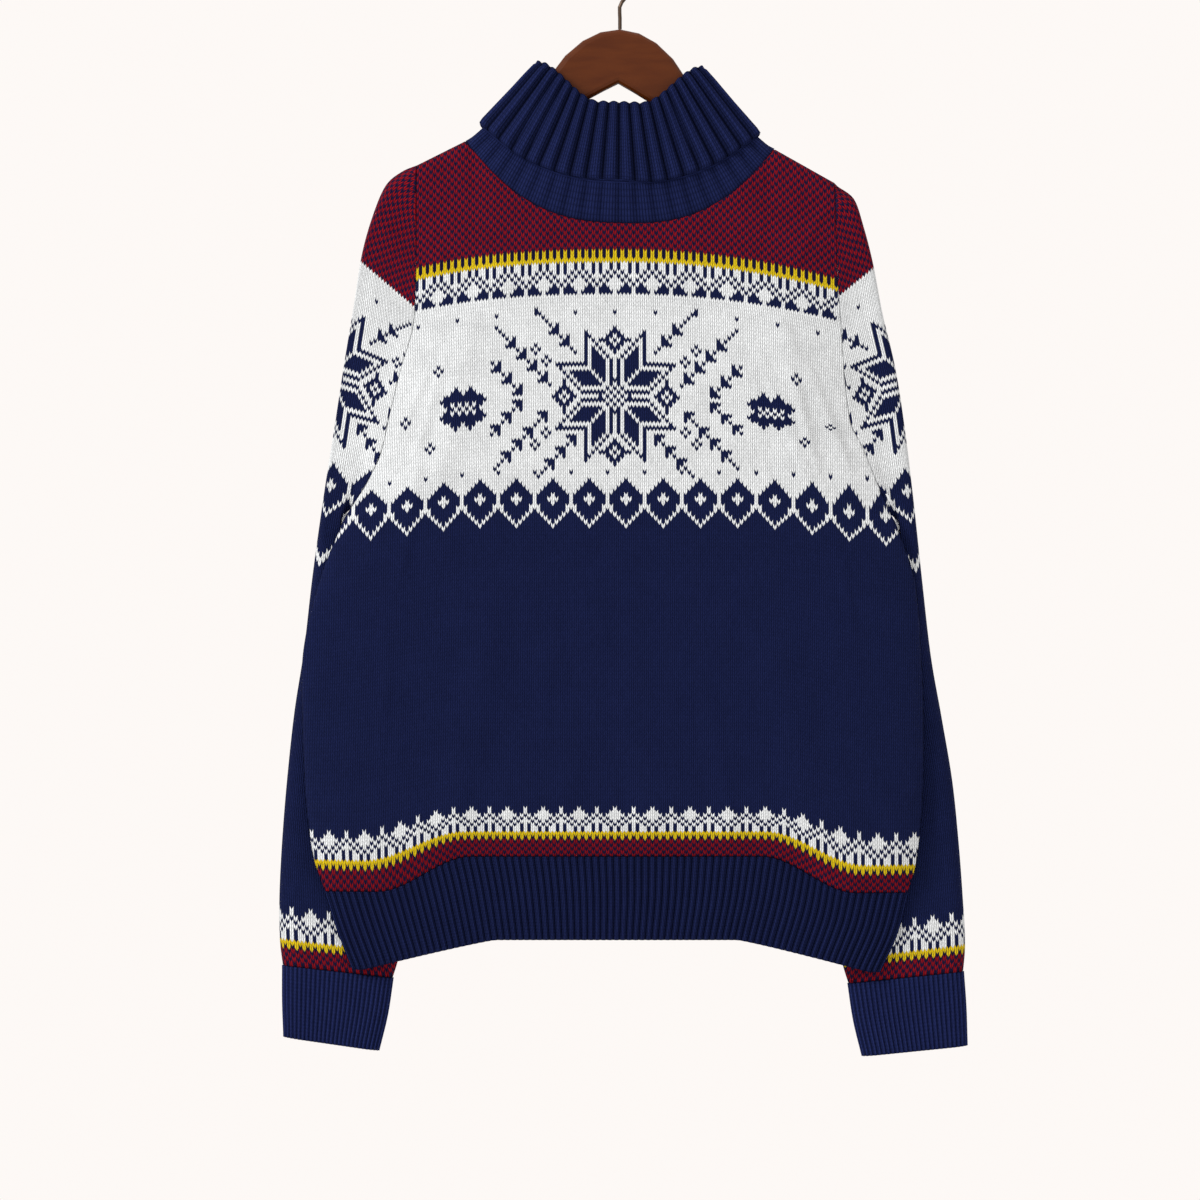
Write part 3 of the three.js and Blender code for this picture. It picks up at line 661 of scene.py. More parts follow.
def columnX(h, r):
    keys = [knot["row"] for knot in pitchKnots]
    pitch = valueAt(keys, [knot["left" if h < 0 else "right"] for knot in pitchKnots], r)
    return bodyCentre + h / 2 * pitch


# Half a stitch's corners in lines of points, and its place counted in half stitches and rows
def halfStitch(lines, r, i):
    return [lines[r][i], lines[r][i + 1], lines[r + 1][i + 1], lines[r + 1][i]]


def stitchPlace(h, r):
    return [(h, r), (h + 1, r), (h + 1, r + 1), (h, r + 1)]


# The row that a corner of a stitch lies on; the middle of a stitch hangs lower than its sides
def cornerRow(h, r):
    return r + (vRise if h % 2 == 0 and r > 0 else 0)


def bodyPanel(name, facing, node):
    cloth = newCloth()
    lines = []
    for r in range(topRow + 1):
        line = []
        for h in range(firstHalf, lastHalf + 1):
            place = cornerRow(h, r)
            point, atSide, atTop = panelPoint(columnX(h, place), rowMiddle(place), facing)
            if not atSide and not atTop:
                point.y += creased(point, facing)
            line.append((addPoint(cloth, point), atSide, atTop))
        lines.append(line)
    for r in range(topRow):
        for h in range(firstHalf, lastHalf):
            corners = halfStitch(lines, r, h - firstHalf)
            sides = {corner[1] for corner in corners}
            if len(sides) == 1 and 0 not in sides or all(corner[2] for corner in corners):
                continue
            dye = uneven(dyes[bodyColour(h // 2, r)], bodySpread)
            addFace(cloth, [corner[0] for corner in corners], stitchPlace(h, r), dye)
    stitched = len(cloth["faces"])
    outer = openLoops(cloth["faces"])
    innerWall(cloth, facing)
    inner = openLoops(cloth["faces"][stitched:])
    bridge(cloth, outer[0], inner[0])
    return makePiece(name, cloth, node)


# The plain inside of a panel: its columns, and how far down the yoke its first rows lie. The back's
# is deeper beside the sleeves, which press the outside in
insideGrid = {"columns": 40, "falls": (0, 0.04, 0.12, 0.26, 0.45, 0.7), "shoulderLean": 0.4}
sunk = {"by": 5.4, "x": 80, "fadeX": 30, "top": -296, "fadeTop": 30, "foot": -640, "fadeFoot": 60}


def sunkBy(point, facing):
    beside = clamp01((abs(point.x) - sunk["x"]) / sunk["fadeX"])
    below = clamp01((sunk["top"] - point.z) / sunk["fadeTop"])
    above = clamp01((point.z - sunk["foot"]) / sunk["fadeFoot"])
    return sunk["by"] * (beside * below * above) if facing > 0 else 0


def innerWall(cloth, facing):
    cloth["known"] = {}
    last = insideGrid["columns"]
    shares = [k / last for k in range(last + 1)]
    grid = []
    for fall in insideGrid["falls"]:
        row = []
        for share in shares:
            x = mix(yoke["tip"][-1][0], yoke["tip"][1][0], share)
            top, foot = topPoint(x, facing), sectionPoint(bodyRows[0], share, facing)
            over = yoke["over"] * roundRise((top - foot).length * fall / yoke["reach"])
            room = clamp01(1 - abs(top.y) / yoke["over"])
            y = mix(top.y + facing * over * room, foot.y, fall ** yoke["fall"])
            row.append(Vector((mix(top.x, foot.x, fall), y, mix(top.z, foot.z, fall))))
        grid.append(row)
    closed = [False] * len(grid) + [row["open"] == 0 for row in bodyRows]
    grid += [[sectionPoint(row, share, facing) for share in shares] for row in bodyRows]
    if facing > 0:
        grid = [row[::-1] for row in grid]
    numbered = []
    for r, row in enumerate(grid):
        line = []
        for c, point in enumerate(row):
            closedSide = closed[r] and c in (0, last)
            if closedSide:
                normal = Vector((-1 if (c == 0) == (facing < 0) else 1, 0, 0))
            elif r == 0 and abs(point.x) >= yoke["half"] - 1:
                lean = math.copysign(insideGrid["shoulderLean"], point.x)
                normal = Vector((lean, 0, 1)).normalized()
            else:
                normal = gridNormal(grid, r, c, False)
            deeper = 0 if closedSide else sunkBy(point, facing)
            line.append(addPoint(cloth, point - normal * wall - Vector((0, deeper, 0))))
        numbered.append(line)
    for r in range(len(numbered) - 1):
        for c in range(last):
            corners = halfStitch(numbered, r, c)
            addPlain(cloth, corners, zoneDye(cloth, corners))


# Sleeves. Steps of the armhole above and below the yoke's foot, how they crowd together, its foot,
# and its gap to the body
armhole = {"above": 14, "below": 16, "crowd": 1.3, "foot": -446, "gap": 0.1}
sleeve = {
    "row": 3.33, "pitch": 2.95, "steps": 5, "outRound": 15, "outArc": 20,
    "yokeFoot": {-1: -256.8, 1: -261.6}, "insideShare": 0.3,
}
slopes = table("depth angle", [
    (192, 46), (258, 40), (296, 28), (346, 19), (424, 11), (608, 9), (821, 6.45),
])


def armholeLine(side, facing):
    beyond = side * 1e3
    tipZ = yoke["tip"][side][1]
    footZ = sectionPoint(bodyRows[0], 0 if side < 0 else 1, facing).z
    points = []
    for k in range(armhole["above"]):
        mid = yokeFoot + (tipZ - footZ) * (1 - (k / armhole["above"]) ** armhole["crowd"])
        points.append(panelPoint(beyond, mid + (0.01 if k == 0 else 0), facing)[0])
    for k in range(armhole["below"] + 1):
        mid = mix(yokeFoot, armhole["foot"], k / armhole["below"])
        points.append(panelPoint(beyond, mid, facing)[0])
    return [point + Vector((side * armhole["gap"], 0, 0)) for point in points]


# The outer and inner fold of a sleeve's or cuff's row; the left sleeve hangs wider and lower
def foldPoints(row, side, y):
    wider, lower = (row["wider"], row["lower"]) if side > 0 else (0, 0)
    innerWider, innerLower = innerFold[side]
    out = Vector((-side * row["outX"] + side * wider, y, row["outZ"] - lower))
    inner = Vector((-side * row["inX"] + innerWider, y, row["inZ"] - innerLower))
    return out, inner


# Half the thickness at a share of a row's width, round at both folds
def tubeHalf(row, share, length, inRound):
    outer = roundRise(share * length / sleeve["outRound"])
    return row["half"] * outer * roundRise((1 - share) * length / inRound)


# Front and back line of one row of the table
def sleeveRing(row, side, shares, bows):
    out, inner = foldPoints(row, side, 0)
    line = [out, inner]
    if row["kneeZ"]:
        kneeX = inner.x + side * (row["inX"] - row["kneeX"])
        line.insert(1, Vector((kneeX, 0, inner.z + row["kneeZ"] - row["inZ"])))
    length = waysAlong(line)[-1]
    front, back = [], []
    for share, bow in zip(shares, bows):
        thick = tubeHalf(row, share, length, row["fold"])
        point = pointAlong(line, share)
        point.x += bow * row["bow"]
        middle = mix(row["outMid"], row["inMid"], soft(share))
        front.append(Vector((point.x, middle - thick, point.z)))
        back.append(Vector((point.x, middle + thick, point.z)))
    return front, back


# A line between two rings, on a smooth curve through all of them
def lineBetween(lines, i, t):
    points = []
    for c, (a, b) in enumerate(zip(lines[i], lines[i + 1])):
        before, after = lines[max(i - 1, 0)][c], lines[min(i + 2, len(lines) - 1)][c]
        leave = b - a if i == 0 else (b - before) * 0.5
        arrive = (after - a) * 0.5
        curve = a.lerp(b, soft(t)) + leave * (t * (1 - t) ** 2) - arrive * (t * t * (1 - t))
        points.append(curve)
    return points


# Front and back line of every ring of a sleeve, from the armhole to the cuff
def sleeveRings(side):
    down, up = armholeLine(side, -1), armholeLine(side, 1)
    down[0] = down[0].lerp(up[0], 0.5)
    down[-1] = down[-1].lerp(up[-1], 0.85)
    up[0], up[-1] = down[0], down[-1]
    ways = waysAlong(down)
    shares = [way / ways[-1] for way in ways]
    bows = [p.x - mix(down[0].x, down[-1].x, share) for p, share in zip(down, shares)]
    rings = [(down, up)] + [sleeveRing(row, side, shares, bows) for row in sleeveRows]
    fronts, backs = zip(*rings)
    finer = []
    for i in range(len(rings) - 1):
        for k in range(sleeve["steps"]):
            t = k / sleeve["steps"]
            finer.append((lineBetween(fronts, i, t), lineBetween(backs, i, t)))
    return finer + rings[-1:]


# How far a column lies from the outer fold, which its first stitches go round
def arcReach(h):
    arc = h / 2 * sleeve["pitch"]
    if arc >= sleeve["outArc"]:
        return arc - (sleeve["outArc"] - sleeve["outRound"])
    return sleeve["outRound"] * (1 - math.cos(arc / sleeve["outArc"] * math.pi / 2))


# The count of a sleeve's rows, and a function that says where a row runs: its start on the outer
# fold, its direction, its length and its end on the front and the back
def rowFinder(rings, side):
    outer = [ring[0][0] for ring in rings]
    limits = [rings[0][half] + [ring[half][-1] for ring in rings[1:]] for half in (0, 1)]
    flat = [Vector((p.x, p.z)) for p in limits[0]]
    rows = round(waysAlong(outer)[-1] / sleeve["row"])
    lastEnd = limits[0][-1]
    endSlope = math.atan2(outer[-1].z - lastEnd.z, abs(lastEnd.x - outer[-1].x))
    depths, angles = [row["depth"] for row in slopes], [row["angle"] for row in slopes]
    spots = {}

    def findSpot(place):
        start = pointAlong(outer, 1 - place / rows)
        here = Vector((start.x, start.z))
        slope = endSlope
        if place > 0:
            slope = math.radians(valueAt(depths, angles, -start.z, False))
        way = Vector((-side * math.cos(slope), -math.sin(slope)))
        if place <= 0:
            return start, way, (flat[-1] - here).length, [line[-1] for line in limits]
        hits = []
        for i in range(len(flat) - 1):
            hit = intersect_line_line_2d(here, here + way * 300, flat[i], flat[i + 1])
            if hit and (hit - here).length > 0.01:
                share = (hit - flat[i]).length / max(1e-6, (flat[i + 1] - flat[i]).length)
                ends = [line[i].lerp(line[i + 1], share) for line in limits]
                hits.append(((hit - here).length, ends))
        reach, ends = min(hits, key=lambda hit: hit[0], default=(0, [start, start]))
        return start, way, reach, ends

    def spot(place):
        key = round(place * 100)
        if key not in spots:
            spots[key] = findSpot(place)
        return spots[key]

    return rows, spot


# The smooth surface of one half of a sleeve, on which the stitches are laid
def halfSurface(rings, half):
    columns = len(rings[0][half])
    points = [point for ring in rings for point in ring[half]]
    quads = []
    for r in range(len(rings) - 1):
        for c in range(columns - 1):
            a = r * columns + c
            quads.append((a, a + 1, a + columns + 1, a + columns))
    return BVHTree.FromPolygons(points, quads)


# Lines of point numbers on one half, each with whether it is at the end of its row
def sleeveLines(cloth, rings, half, rows, spot):
    sign = 1 if half else -1
    surface = halfSurface(rings, half)
    longest = max(spot(r)[2] for r in range(rows + 1))
    most = 2 * int((longest + 5) / sleeve["pitch"] + 2)
    lines = []
    for r in range(rows + 1):
        line = []
        for h in range(most + 1):
            start, way, reach, _ = spot(min(rows, cornerRow(h, r)))
            along = arcReach(h)
            if along >= reach:
                line.append((addPoint(cloth, spot(r)[3][half]), True))
            elif h == 0:
                line.append((addPoint(cloth, start), False))
            else:
                x, z = start.x + way.x * along, start.z + way.y * along
                hit = surface.ray_cast(Vector((x, sign * 90, z)), Vector((0, -sign, 0)))[0]
                if hit is None:
                    hit = surface.find_nearest(Vector((x, sign * 12, z)))[0]
                line.append((addPoint(cloth, (x, hit.y, z)), False))
        lines.append(line)
    return lines


# The plain inside of a sleeve: rings round the middle line of each of its rings
def sleeveInside(cloth, rings):
    cloth["known"] = {}
    numbered = []
    for front, back in rings[:-1:2] + rings[-1:]:
        middle = [p.lerp(q, 0.5) for p, q in zip(front, back)]
        inset = wall / waysAlong(middle)[-1]
        near, far = [], []
        for c in range(0, len(middle), 2):
            away = front[c] - middle[c]
            kept = max(away.length - wall, away.length * sleeve["insideShare"])
            place = pointAlong(middle, mix(inset, 1 - inset, c / (len(middle) - 1)))
            near.append(place + away.normalized() * kept)
            far.append(place - away.normalized() * kept)
        ring = near + far[1:-1][::-1]
        numbered.append([addPoint(cloth, point) for point in ring])
    for upper, lower in zip(numbered, numbered[1:]):
        stitchRows(cloth, upper, lower, True, zoneDye(cloth, upper))
    return numbered


def sleevePiece(name, side, node):
    rings = sleeveRings(side)
    rows, spot = rowFinder(rings, side)
    footZ = sleeve["yokeFoot"][side]
    yokeRow = min(range(rows), key=lambda r: abs(spot(r)[0].z - footZ))
    cloth = newCloth()
    halves = []
    for half in (0, 1):
        lines = sleeveLines(cloth, rings, half, rows, spot)
        halves.append(lines)
        for r in range(rows):
            for h in range(len(lines[r]) - 1):
                corners, uv = halfStitch(lines, r, h), stitchPlace(h, r)
                if all(corner[1] for corner in corners):
                    continue
                c = -1 - h // 2 if half else h // 2
                if half:
                    corners.reverse()
                    uv.reverse()
                dye = uneven(dyes[sleeveColour(c, r, yokeRow - 1 - r)], bodySpread)
                addFace(cloth, [corner[0] for corner in corners], uv, dye)
    # Both open ends, each as one loop of points
    front, back = halves
    split = next(r for r in range(rows) if front[r][-1][0] != back[r][-1][0])
    mouth = [line[-1][0] for line in front[split - 1:] + back[split:][::-1]]
    cuffEnd = [corner[0] for corner in front[0] + back[0][::-1]]
    inner = sleeveInside(cloth, rings)
    bridge(cloth, list(dict.fromkeys(mouth)), inner[0])
    bridge(cloth, list(dict.fromkeys(cuffEnd)), inner[-1])
    return makePiece(name, cloth, node)


# Ribs. What a rib has at a phase of its round, from its groove to its crest
def ribAt(phase, groove, crest, share):
    return mix(groove, crest, (0.5 + 0.5 * math.cos(2 * math.pi * phase)) ** share)


# A closed piece of rows of points, in which the rows that ribbed names have stitches below them.
# Its rows are rings, or strips where outside says how many of them make the outer side
def rowsPiece(name, rows, ribbed, legs, paintedRibShadeAt, node, outside=0):
    cloth = newCloth()
    numbered = [[addPoint(cloth, point) for point in row] for row in rows]
    ring, tone = not outside, dyes["navy"]
    for i, upper in enumerate(numbered):
        lower = numbered[(i + 1) % len(rows)]
        if i not in ribbed:
            stitchRows(cloth, upper, lower, ring, tone)
            continue
        count = len(upper)
        for c in range(count if ring else count - 1):
            after = (c + 1) % count
            u = c * legs
            uv = [(u, -i), (u, -i - 1), (u + legs, -i - 1), (u + legs, -i)]
            # Painted shade: the dye is darkened in the grooves between the ribs and lightened on
            # their crests
            dye = uneven(tone, 0.06, paintedRibShadeAt(c + 0.5, i))
            addFace(cloth, [upper[c], lower[c], lower[after], upper[after]], uv, dye)
    if outside:
        outer, inner = numbered[:outside], numbered[outside:][::-1]
        stitchRows(cloth, [row[0] for row in outer], [row[0] for row in inner], False, tone)
        stitchRows(cloth, [row[-1] for row in inner], [row[-1] for row in outer], False, tone)
    return makePiece(name, cloth, node)


# A row between the rows of a table
def blendRow(rows, t):
    keys = list(range(len(rows)))
    return {name: valueAt(keys, [row[name] for row in rows], t) for name in rows[0]}


# A plain row with its ribs raised and its stitches hanging in points
def ribRow(plain, r, ring, look):
    row = []
    for c, point in enumerate(plain[r]):
        phase = c / look["perRib"]
        rise = ribAt(phase, look["groove"], look["crest"], look["share"])
        leg = (phase * 4) % 2
        lift = look["lift"] * (1 - abs(leg - 1)) if 0 < r < len(plain) - 1 else 0
        row.append(point + gridNormal(plain, r, c, ring) * rise + Vector((0, 0, lift)))
    return row


# A hem or cuff with ribs outside and plain rows inside
def ribbedPiece(name, plain, ring, inner, look, node):
    # Painted shade: the dye goes from the look's dark in each groove to its light on each crest
    def paintedRibShadeAt(c, i):
        return ribAt(c / look["perRib"], look["dark"], look["light"], look["fade"])

    outer = [ribRow(plain, r, ring, look) for r in range(len(plain))]
    ribbed, legs = range(len(outer) - 1), 4 / look["perRib"]
    return rowsPiece(name, outer + inner, ribbed, legs, paintedRibShadeAt, node, 0 if ring else len(outer))


ribWall = wall + 0.6
# For hem and cuff, dark and light scale the dye from a rib's groove to its crest, and fade shapes
# how fast it changes: painted shade in the grooves and painted light on the crests. The cuff's
# light above 1 also makes its own blue paler
hem = {
    "perRib": 8, "ribs": 84, "rows": 26, "tug": 0.6, "crest": 0.9, "groove": -1.2, "share": 0.6,
    "lift": 1.4, "dark": 0.5, "light": 1.2, "fade": 0.6, "samples": 120,
}
cuff = {
    "perRib": 8, "ribs": 52, "rows": 20, "crest": 0.7, "groove": -0.6, "share": 0.7,
    "lift": 1.4, "dark": 0.85, "light": 2.1, "fade": 0.9, "samples": 40, "y": 5,
}


def hemPiece(name, facing, node):
    count, steps, samples = hem["rows"], hem["ribs"] * hem["perRib"], hem["samples"]
    full = [{**bodyRows[-1], **row} for row in hemRows]
    plain = []
    for i in range(count + 1):
        row = blendRow(full, 2 * i / count)
        line = [sectionPoint(row, k / samples, facing) for k in range(samples + 1)]
        if facing > 0:
            line.reverse()
        plain.append([pointAlong(line, k / steps) for k in range(steps + 1)])
    for i, line in enumerate(plain):
        for point in line:
            wave = math.sin(point.x * 0.045 + 1.3) * math.sin(math.pi * i / count)
            point.y += facing * hem["tug"] * wave
    inner = []
    for r in (count, count // 2, 0):
        line = []
        for c in range(0, steps + 1, hem["perRib"]):
            normal = gridNormal(plain, r, c, False)
            if c in (0, steps):
                normal = Vector((-1 if (c == 0) == (facing < 0) else 1, 0, 0))
            line.append(plain[r][c] - normal * ribWall)
        inner.append(line)
    return ribbedPiece(name, plain, False, inner, hem, node)


def cuffPiece(name, side, node):
    count, steps, samples = cuff["rows"], cuff["ribs"] * cuff["perRib"], cuff["samples"]
    plain = []
    for i in range(count + 1):
        row = blendRow(cuffRows, 2 * i / count)
        out, inner = foldPoints(row, side, cuff["y"])
        length = (inner - out).length
        front, back = [], []
        for k in range(samples + 1):
            share = soft(k / samples)
            thick = tubeHalf(row, share, length, sleeve["outRound"])
            point = out.lerp(inner, share)
            front.append(point - Vector((0, thick, 0)))
            back.append(point + Vector((0, thick, 0)))
        ring = front + back[1:-1][::-1]
        if side > 0:
            ring = [ring[0]] + ring[1:][::-1]
        closed = ring + [ring[0]]
        plain.append([pointAlong(closed, k / steps) for k in range(steps)])
    insideRows = []
    for r in (count, count // 2, 0):
        places = range(0, steps, cuff["perRib"] // 2)
        insideRows.append([plain[r][c] - gridNormal(plain, r, c, True) * ribWall for c in places])
    return ribbedPiece(name, plain, True, insideRows, cuff, node)


# Collar
collarTop = {"half": 68, "side": -100, "drop": 32, "backDrop": 32, "front": 19, "back": 18}
collarEdge = {"half": 113, "side": -149, "drop": 43, "backDrop": 43, "front": 27.5, "back": 23.8}
collarStand = {"half": 113, "side": -149, "drop": 43, "backDrop": 8, "front": 27.5, "back": 19.5}
collar = {"ribs": 40, "perRib": 12, "rows": 20, "standRows": 6, "gap": 0.9, "tilt": 0.03}
turned = {"crest": 1.7, "groove": -2.0, "share": 0.42, "lift": 1.4}
stand = {"crest": 1.1, "groove": -1.0, "share": 0.5}


def topDrop(across):
    return soft((1 - across) / 0.75)


def edgeDrop(across):
    return 1 - across ** 2.5


# A ring of points along a front and a back line, which both run from left to right
def ringOf(front, back, count):
    half = count // 2
    return [pointAlong(line, i / half) for line in (front, back[::-1]) for i in range(half)]


def neckRing(size, shape, count):
    lines = []
    for facing, depth, drop in (
        (-1, size["front"], size["drop"]), (1, size["back"], size["backDrop"]),
    ):
        line = []
        for i in range(91):
            across = -math.cos(math.pi * i / 90)
            x = size["half"] * across
            y = facing * depth * math.sqrt(max(0, 1 - across * across))
            z = size["side"] - drop * shape(abs(across)) - x * math.tan(collar["tilt"])
            line.append(Vector((x, y, z)))
        lines.append(line)
    return ringOf(lines[0], lines[1], count)


def shrunk(size, by, rise):
    return {
        **size, "half": size["half"] - by * 0.75, "front": size["front"] - by,
        "back": size["back"] - by, "side": size["side"] - by * 0.7 + rise,
    }


def blendRings(a, b, share):
    return [p.lerp(q, share) for p, q in zip(a, b)]


def necklineRing(count, inner):
    lines = []
    for facing in (-1, 1):
        line = [topPoint(mix(-yoke["half"], yoke["half"], k / 80), facing) for k in range(81)]
        lines.append([p + Vector((0, -facing * inner, 0.25)) for p in line])
    return ringOf(lines[0], lines[1], count)


# The turned part, from the collar's top to its edge, and its lip
def collarOutside(count):
    rowCount, perRib = collar["rows"], collar["perRib"]
    topRing = neckRing(collarTop, topDrop, count)
    edgeRing = neckRing(collarEdge, edgeDrop, count)
    plain = [blendRings(topRing, edgeRing, i / rowCount) for i in range(rowCount + 1)]
    for i, ring in enumerate(plain):
        share = i / rowCount
        for c, point in enumerate(ring):
            turn = 2 * math.pi * c / count
            point.z += 1.2 * share * math.sin(turn * 5 + 0.7) + 0.8 * share * math.sin(turn * 9)
            out = 1 if point.y < 0 else -1
            point.y -= out * 0.9 * math.sin(share * math.pi) * math.sin(turn * 7 + 1)
    rows = []
    for i in range(rowCount + 1):
        crest = turned["crest"] * mix(0.7, 1.0, clamp01(i / 4))
        row = []
        for c, point in enumerate(plain[i]):
            rise = ribAt(c / perRib + 0.5, turned["groove"], crest, turned["share"])
            leg = (c / perRib * 6) % 2
            lift = turned["lift"] * (1 - abs(leg - 1)) if 0 < i < rowCount else 0
            row.append(point + gridNormal(plain, i, c, True) * rise + Vector((0, 0, lift)))
        rows.append(row)
    under = neckRing(shrunk(collarEdge, wall, 0), edgeDrop, count)
    rows.append([p + Vector((0, 0, -0.9)) + (q - p) * 0.35 for p, q in zip(rows[-1], under)])
    return rows


# The ribbed foot of the stand, from under the edge to the neckline
def collarFoot(count, toStand):
    steps = collar["standRows"]
    foot = neckRing(shrunk(collarStand, toStand, -1), edgeDrop, count)
    neckline = necklineRing(count, 0)
    plain = [blendRings(foot, neckline, i / steps) for i in range(steps + 1)]
    rows = []
    for i in range(steps + 1):
        room = math.sin(math.pi * clamp01(i / steps * 0.8 + 0.15))
        row = []
        for c, point in enumerate(plain[i]):
            phase = c / collar["perRib"] + 0.5
            rise = ribAt(phase, stand["groove"], stand["crest"], stand["share"]) * room
            row.append(point + gridNormal(plain, i, c, True) * rise)
        rows.append(row)
    return rows


def collarPiece(name, node):
    perRib = collar["perRib"]
    count, fewer = collar["ribs"] * perRib, collar["ribs"] * 2
    toStand = wall + collar["gap"]
    toInside = toStand + wall
    outer = collarOutside(count)
    underFoot = neckRing(shrunk(collarEdge, ribWall, 0), edgeDrop, fewer)
    underTop = neckRing(shrunk(collarTop, wall, 0), topDrop, fewer)
    rows = outer + [blendRings(underFoot, underTop, i / 4) for i in range(5)]
    standTop = neckRing(shrunk(collarTop, toStand, 0), topDrop, fewer)
    standFoot = neckRing(shrunk(collarStand, toStand, -1), edgeDrop, fewer)
    rows += [blendRings(standTop, standFoot, i / 3) for i in range(3)]
    ribbed = set(range(len(outer) - 1)) | set(range(len(rows), len(rows) + collar["standRows"]))
    rows += collarFoot(count, toStand)
    insideTop = neckRing(shrunk(collarTop, toInside, 0), topDrop, fewer)
    insideFoot = neckRing(shrunk(collarStand, toInside, -2), edgeDrop, fewer)
    rows.append(necklineRing(fewer, 2.2))
    rows += [blendRings(insideFoot, insideTop, i / 4) for i in range(5)]
    ribbed |= {len(rows), len(rows) + 1}
    crownFrom = len(rows)
    rows.append(neckRing(shrunk(collarTop, toStand, 2.6), topDrop, count))
    crest = []
    for c, point in enumerate(neckRing(shrunk(collarTop, wall / 2, 3.0), topDrop, count)):
        crest.append(point + Vector((0, 0, 0.8 * ribAt(c / perRib + 0.5, -1, 1, 0.55))))
    rows.append(crest)

    # The turned part has deep grooves, and the part under it only shallow ones, so painted shade
    # darkens the dye deeply in the grooves of the turned part and its crown, and only a little
    # under it
    def paintedRibShadeAt(c, i):
        if i < len(outer) or i >= crownFrom:
            return ribAt(c / perRib + 0.5, 0.28, 1.2, 0.5)
        return ribAt(c / perRib + 0.5, 0.8, 1.1, 0.6)

    return rowsPiece(name, rows, ribbed, 6 / perRib, paintedRibShadeAt, node)


# Shader nodes: a wired value that can be added, multiplied and so on
class Wire:
    def __init__(self, tree, socket):
        self.tree = tree
        self.socket = socket

    def maths(self, kind, *values):
        return addNode(self.tree, "ShaderNodeMath", {"operation": kind}, dict(enumerate(values)))

    def __add__(self, other):
        return self.maths("ADD", self, other)

    def __radd__(self, other):
        return self.maths("ADD", other, self)

    def __sub__(self, other):
        return self.maths("SUBTRACT", self, other)

    def __rsub__(self, other):
        return self.maths("SUBTRACT", other, self)

    def __mul__(self, other):
        return self.maths("MULTIPLY", self, other)

    def __rmul__(self, other):
        return self.maths("MULTIPLY", other, self)

    def __pow__(self, other):
        return self.maths("POWER", self, other)

    # 0 at whole numbers and 1 halfway between them
    def humps(self):
        return self.maths("ABSOLUTE", self.maths("SINE", self * math.pi))


def fillSockets(tree, node, inputs):
    for key, value in inputs.items():
        if isinstance(value, Wire):
            tree.links.new(value.socket, node.inputs[key])
        else:
            node.inputs[key].default_value = value


def addNode(tree, kind, settings, inputs, output=0):
    node = tree.nodes.new(kind)
    for key, value in settings.items():
        setattr(node, key, value)
    fillSockets(tree, node, inputs)
    return Wire(tree, node.outputs[output])


def setShader(tree, inputs):
    fillSockets(tree, tree.nodes["Principled BSDF"], inputs)


# A material whose shader has these values
def newMaterial(name, inputs):
    material = bpy.data.materials.new(name)
    material.use_nodes = True
    setShader(material.node_tree, inputs)
    return material, material.node_tree


wool = {"Roughness": 0.92, "Specular IOR Level": 0.03}
yarnNoise = {"Scale": 900.0, "Detail": 3.0, "Roughness": 0.7}
clothNoise = {"Scale": 40.0, "Detail": 2.0}


def knitMaterial():
    material, tree = newMaterial("knit_wool", wool)
    place = addNode(tree, "ShaderNodeUVMap", {"uv_map": "stitches"}, {})
    u, v = [addNode(tree, "ShaderNodeSeparateXYZ", {}, {0: place}, k) for k in (0, 1)]
    height = u.humps() ** 0.6 * (v.humps() ** 0.6 * 0.55 + 0.45)
    spot = addNode(tree, "ShaderNodeTexCoord", {}, {}, "Object")
    fine = addNode(tree, "ShaderNodeTexNoise", {}, {"Vector": spot, **yarnNoise})
    broad = addNode(tree, "ShaderNodeTexNoise", {}, {"Vector": spot, **clothNoise})
    dye = addNode(tree, "ShaderNodeAttribute", {"attribute_name": "dye"}, {}, "Color")
    # Painted shade: light darkens the dye in the hollows between the stitch legs and rows; the two
    # noises add uneven yarn tone
    light = height * 0.66 + 0.32 + fine * 0.42 + broad * 0.2 - 0.27
    colour = addNode(tree, "ShaderNodeVectorMath", {"operation": "SCALE"}, {0: dye, "Scale": light})
    bump = addNode(tree, "ShaderNodeBump", {}, {
        "Height": height + fine * 0.5, "Strength": 0.9, "Distance": 0.001,
    })
    setShader(tree, {"Base Color": colour, "Normal": bump})
    return material


varnish = {
    "Roughness": 0.42, "Specular IOR Level": 0.12, "Coat Weight": 0.05, "Coat Roughness": 0.25,
}
woodColours = {6: (0.062, 0.0125, 0.0018, 1), 7: (0.088, 0.02, 0.003, 1)}
woodNoise = {"Scale": 1.6, "Detail": 5.0, "Distortion": 0.2}


def woodMaterial():
    material, tree = newMaterial("varnished_wood_grain", varnish)
    spot = addNode(tree, "ShaderNodeTexCoord", {}, {}, "Object")
    stretched = addNode(tree, "ShaderNodeVectorMath", {"operation": "MULTIPLY"}, {
        0: spot, 1: (18.0, 90.0, 90.0),
    })
    grain = addNode(tree, "ShaderNodeTexNoise", {}, {"Vector": stretched, **woodNoise})
    colour = addNode(tree, "ShaderNodeMix", {"data_type": "RGBA"}, {
        "Factor": (grain - 0.3) * 2.2, **woodColours,
    }, 2)
    setShader(tree, {"Base Color": colour})
    return material


bronze = {"Base Color": (0.045, 0.028, 0.018, 1), "Metallic": 0.8, "Roughness": 0.38}

knit = knitMaterial()
knitted = [
    bodyPanel("front_knit", -1, "front_panel"),
    bodyPanel("back_knit", 1, "back_panel"),
    sleevePiece("right_sleeve_knit", -1, "right_sleeve"),
    sleevePiece("left_sleeve_knit", 1, "left_sleeve"),
    hemPiece("front_hem_ribbing", -1, "front_hem_rib"),
    hemPiece("back_hem_ribbing", 1, "back_hem_rib"),
    cuffPiece("right_cuff_ribbing", -1, "right_cuff"),
    cuffPiece("left_cuff_ribbing", 1, "left_cuff"),
    collarPiece("collar_ribbing", "roll_collar"),
]

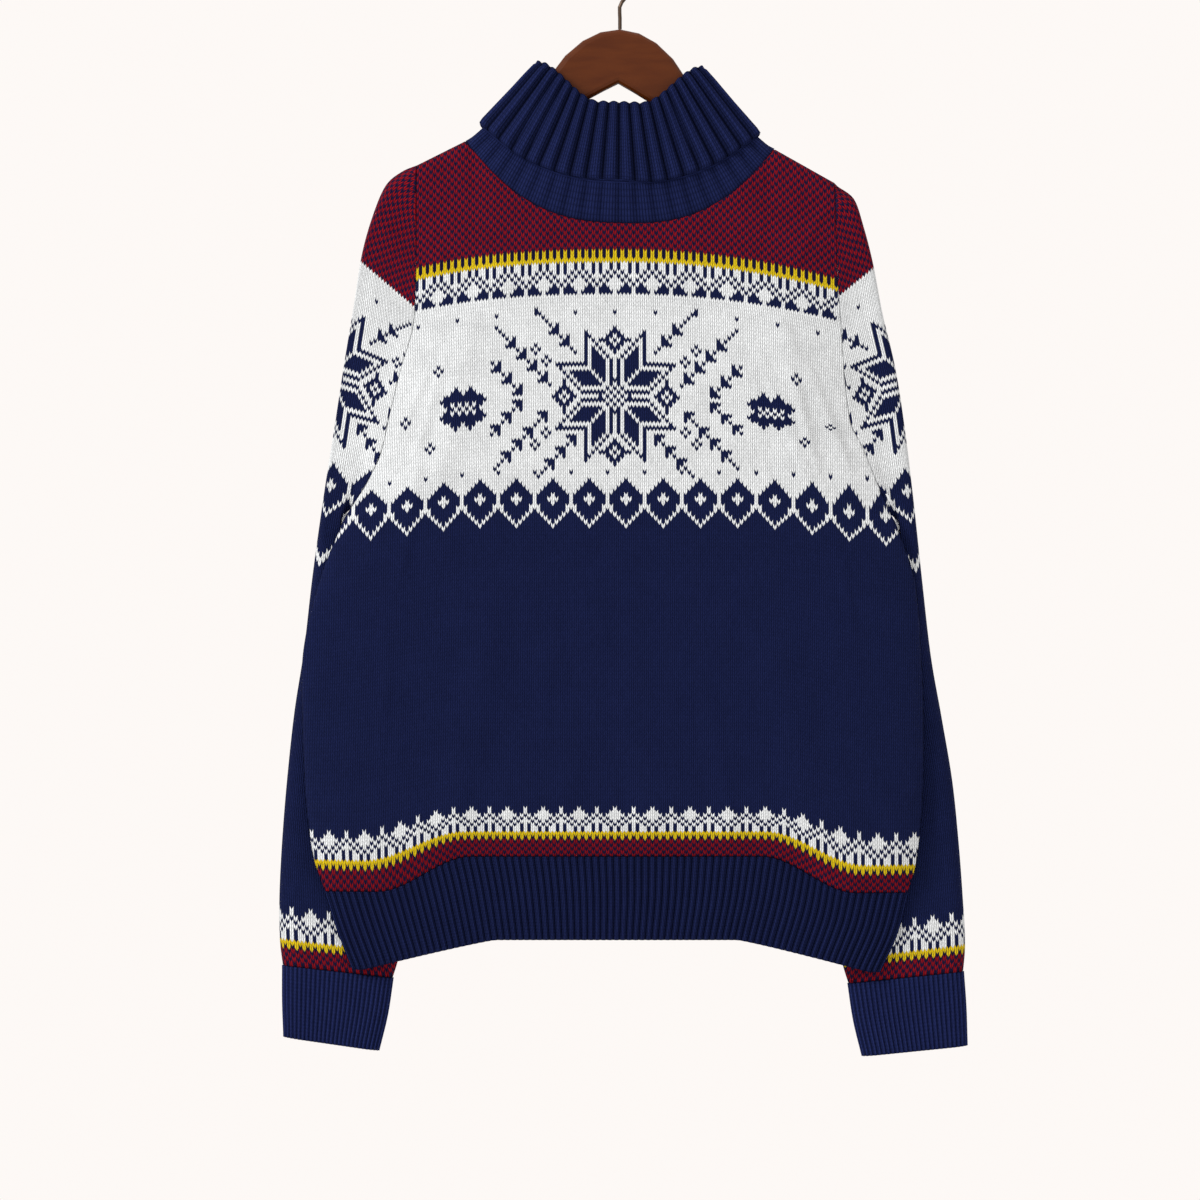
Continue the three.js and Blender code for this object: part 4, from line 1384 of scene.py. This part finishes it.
hangerLooks = {
    "hanger_wood": woodMaterial(), "hanger_hook": newMaterial("dark_bronze_wire", bronze)[0],
}
for node, material in hangerLooks.items():
    for place in bpy.data.objects[node].material_slots:
        place.material = material
print("materials set")

# Floor, light and camera, in metres
studio = {
    "floor": -2.2, "reach": 6, "back": 8, "aim": Vector((0, 0, -0.5)),
    "world": (0.985, 0.945, 0.92, 1), "lens": 150, "camera": (-0.016, -4.015, -0.528),
}
lights = table("name place size power", [
    ("key", (-2.3, -1.7, 1.2), 0.9, 75),
    ("fill", (2.2, -2.6, -0.1), 2.0, 6),
    ("top", (0.2, -0.6, 2.3), 1.4, 10),
])

floorMesh = bpy.data.meshes.new("studio_floor")
side, low = studio["reach"], studio["floor"]
floorCorners = [(x, y, low) for x, y in (
    (-side, -side), (side, -side), (side, studio["back"]), (-side, studio["back"]))]
floorMesh.from_pydata(floorCorners, [], [(0, 1, 2, 3)])
floor = bpy.data.objects.new("studio_floor", floorMesh)
bpy.context.scene.collection.objects.link(floor)
paleFloor = {"Base Color": (0.9, 0.9, 0.9, 1), "Roughness": 0.9}
floorMesh.materials.append(newMaterial("pale_floor", paleFloor)[0])

world = bpy.context.scene.world or bpy.data.worlds.new("studio")
bpy.context.scene.world = world
world.use_nodes = True
background = world.node_tree.nodes["Background"]
background.inputs[0].default_value = studio["world"]
background.inputs[1].default_value = 1.0
bpy.context.scene.view_settings.view_transform = "Standard"

for row in lights:
    light = bpy.data.lights.new(row["name"], "AREA")
    light.energy = row["power"]
    light.size = row["size"]
    lamp = bpy.data.objects.new(row["name"], light)
    lamp.location = row["place"]
    aim = studio["aim"] - Vector(row["place"])
    lamp.rotation_euler = aim.to_track_quat("-Z", "Y").to_euler()
    bpy.context.scene.collection.objects.link(lamp)

camera = bpy.data.objects.new("camera", bpy.data.cameras.new("camera"))
camera.data.sensor_width = 36
camera.data.lens = studio["lens"]
camera.location = studio["camera"]
camera.rotation_euler = (math.pi / 2, 0, 0)
bpy.context.scene.collection.objects.link(camera)
bpy.context.scene.camera = camera
print("studio set")
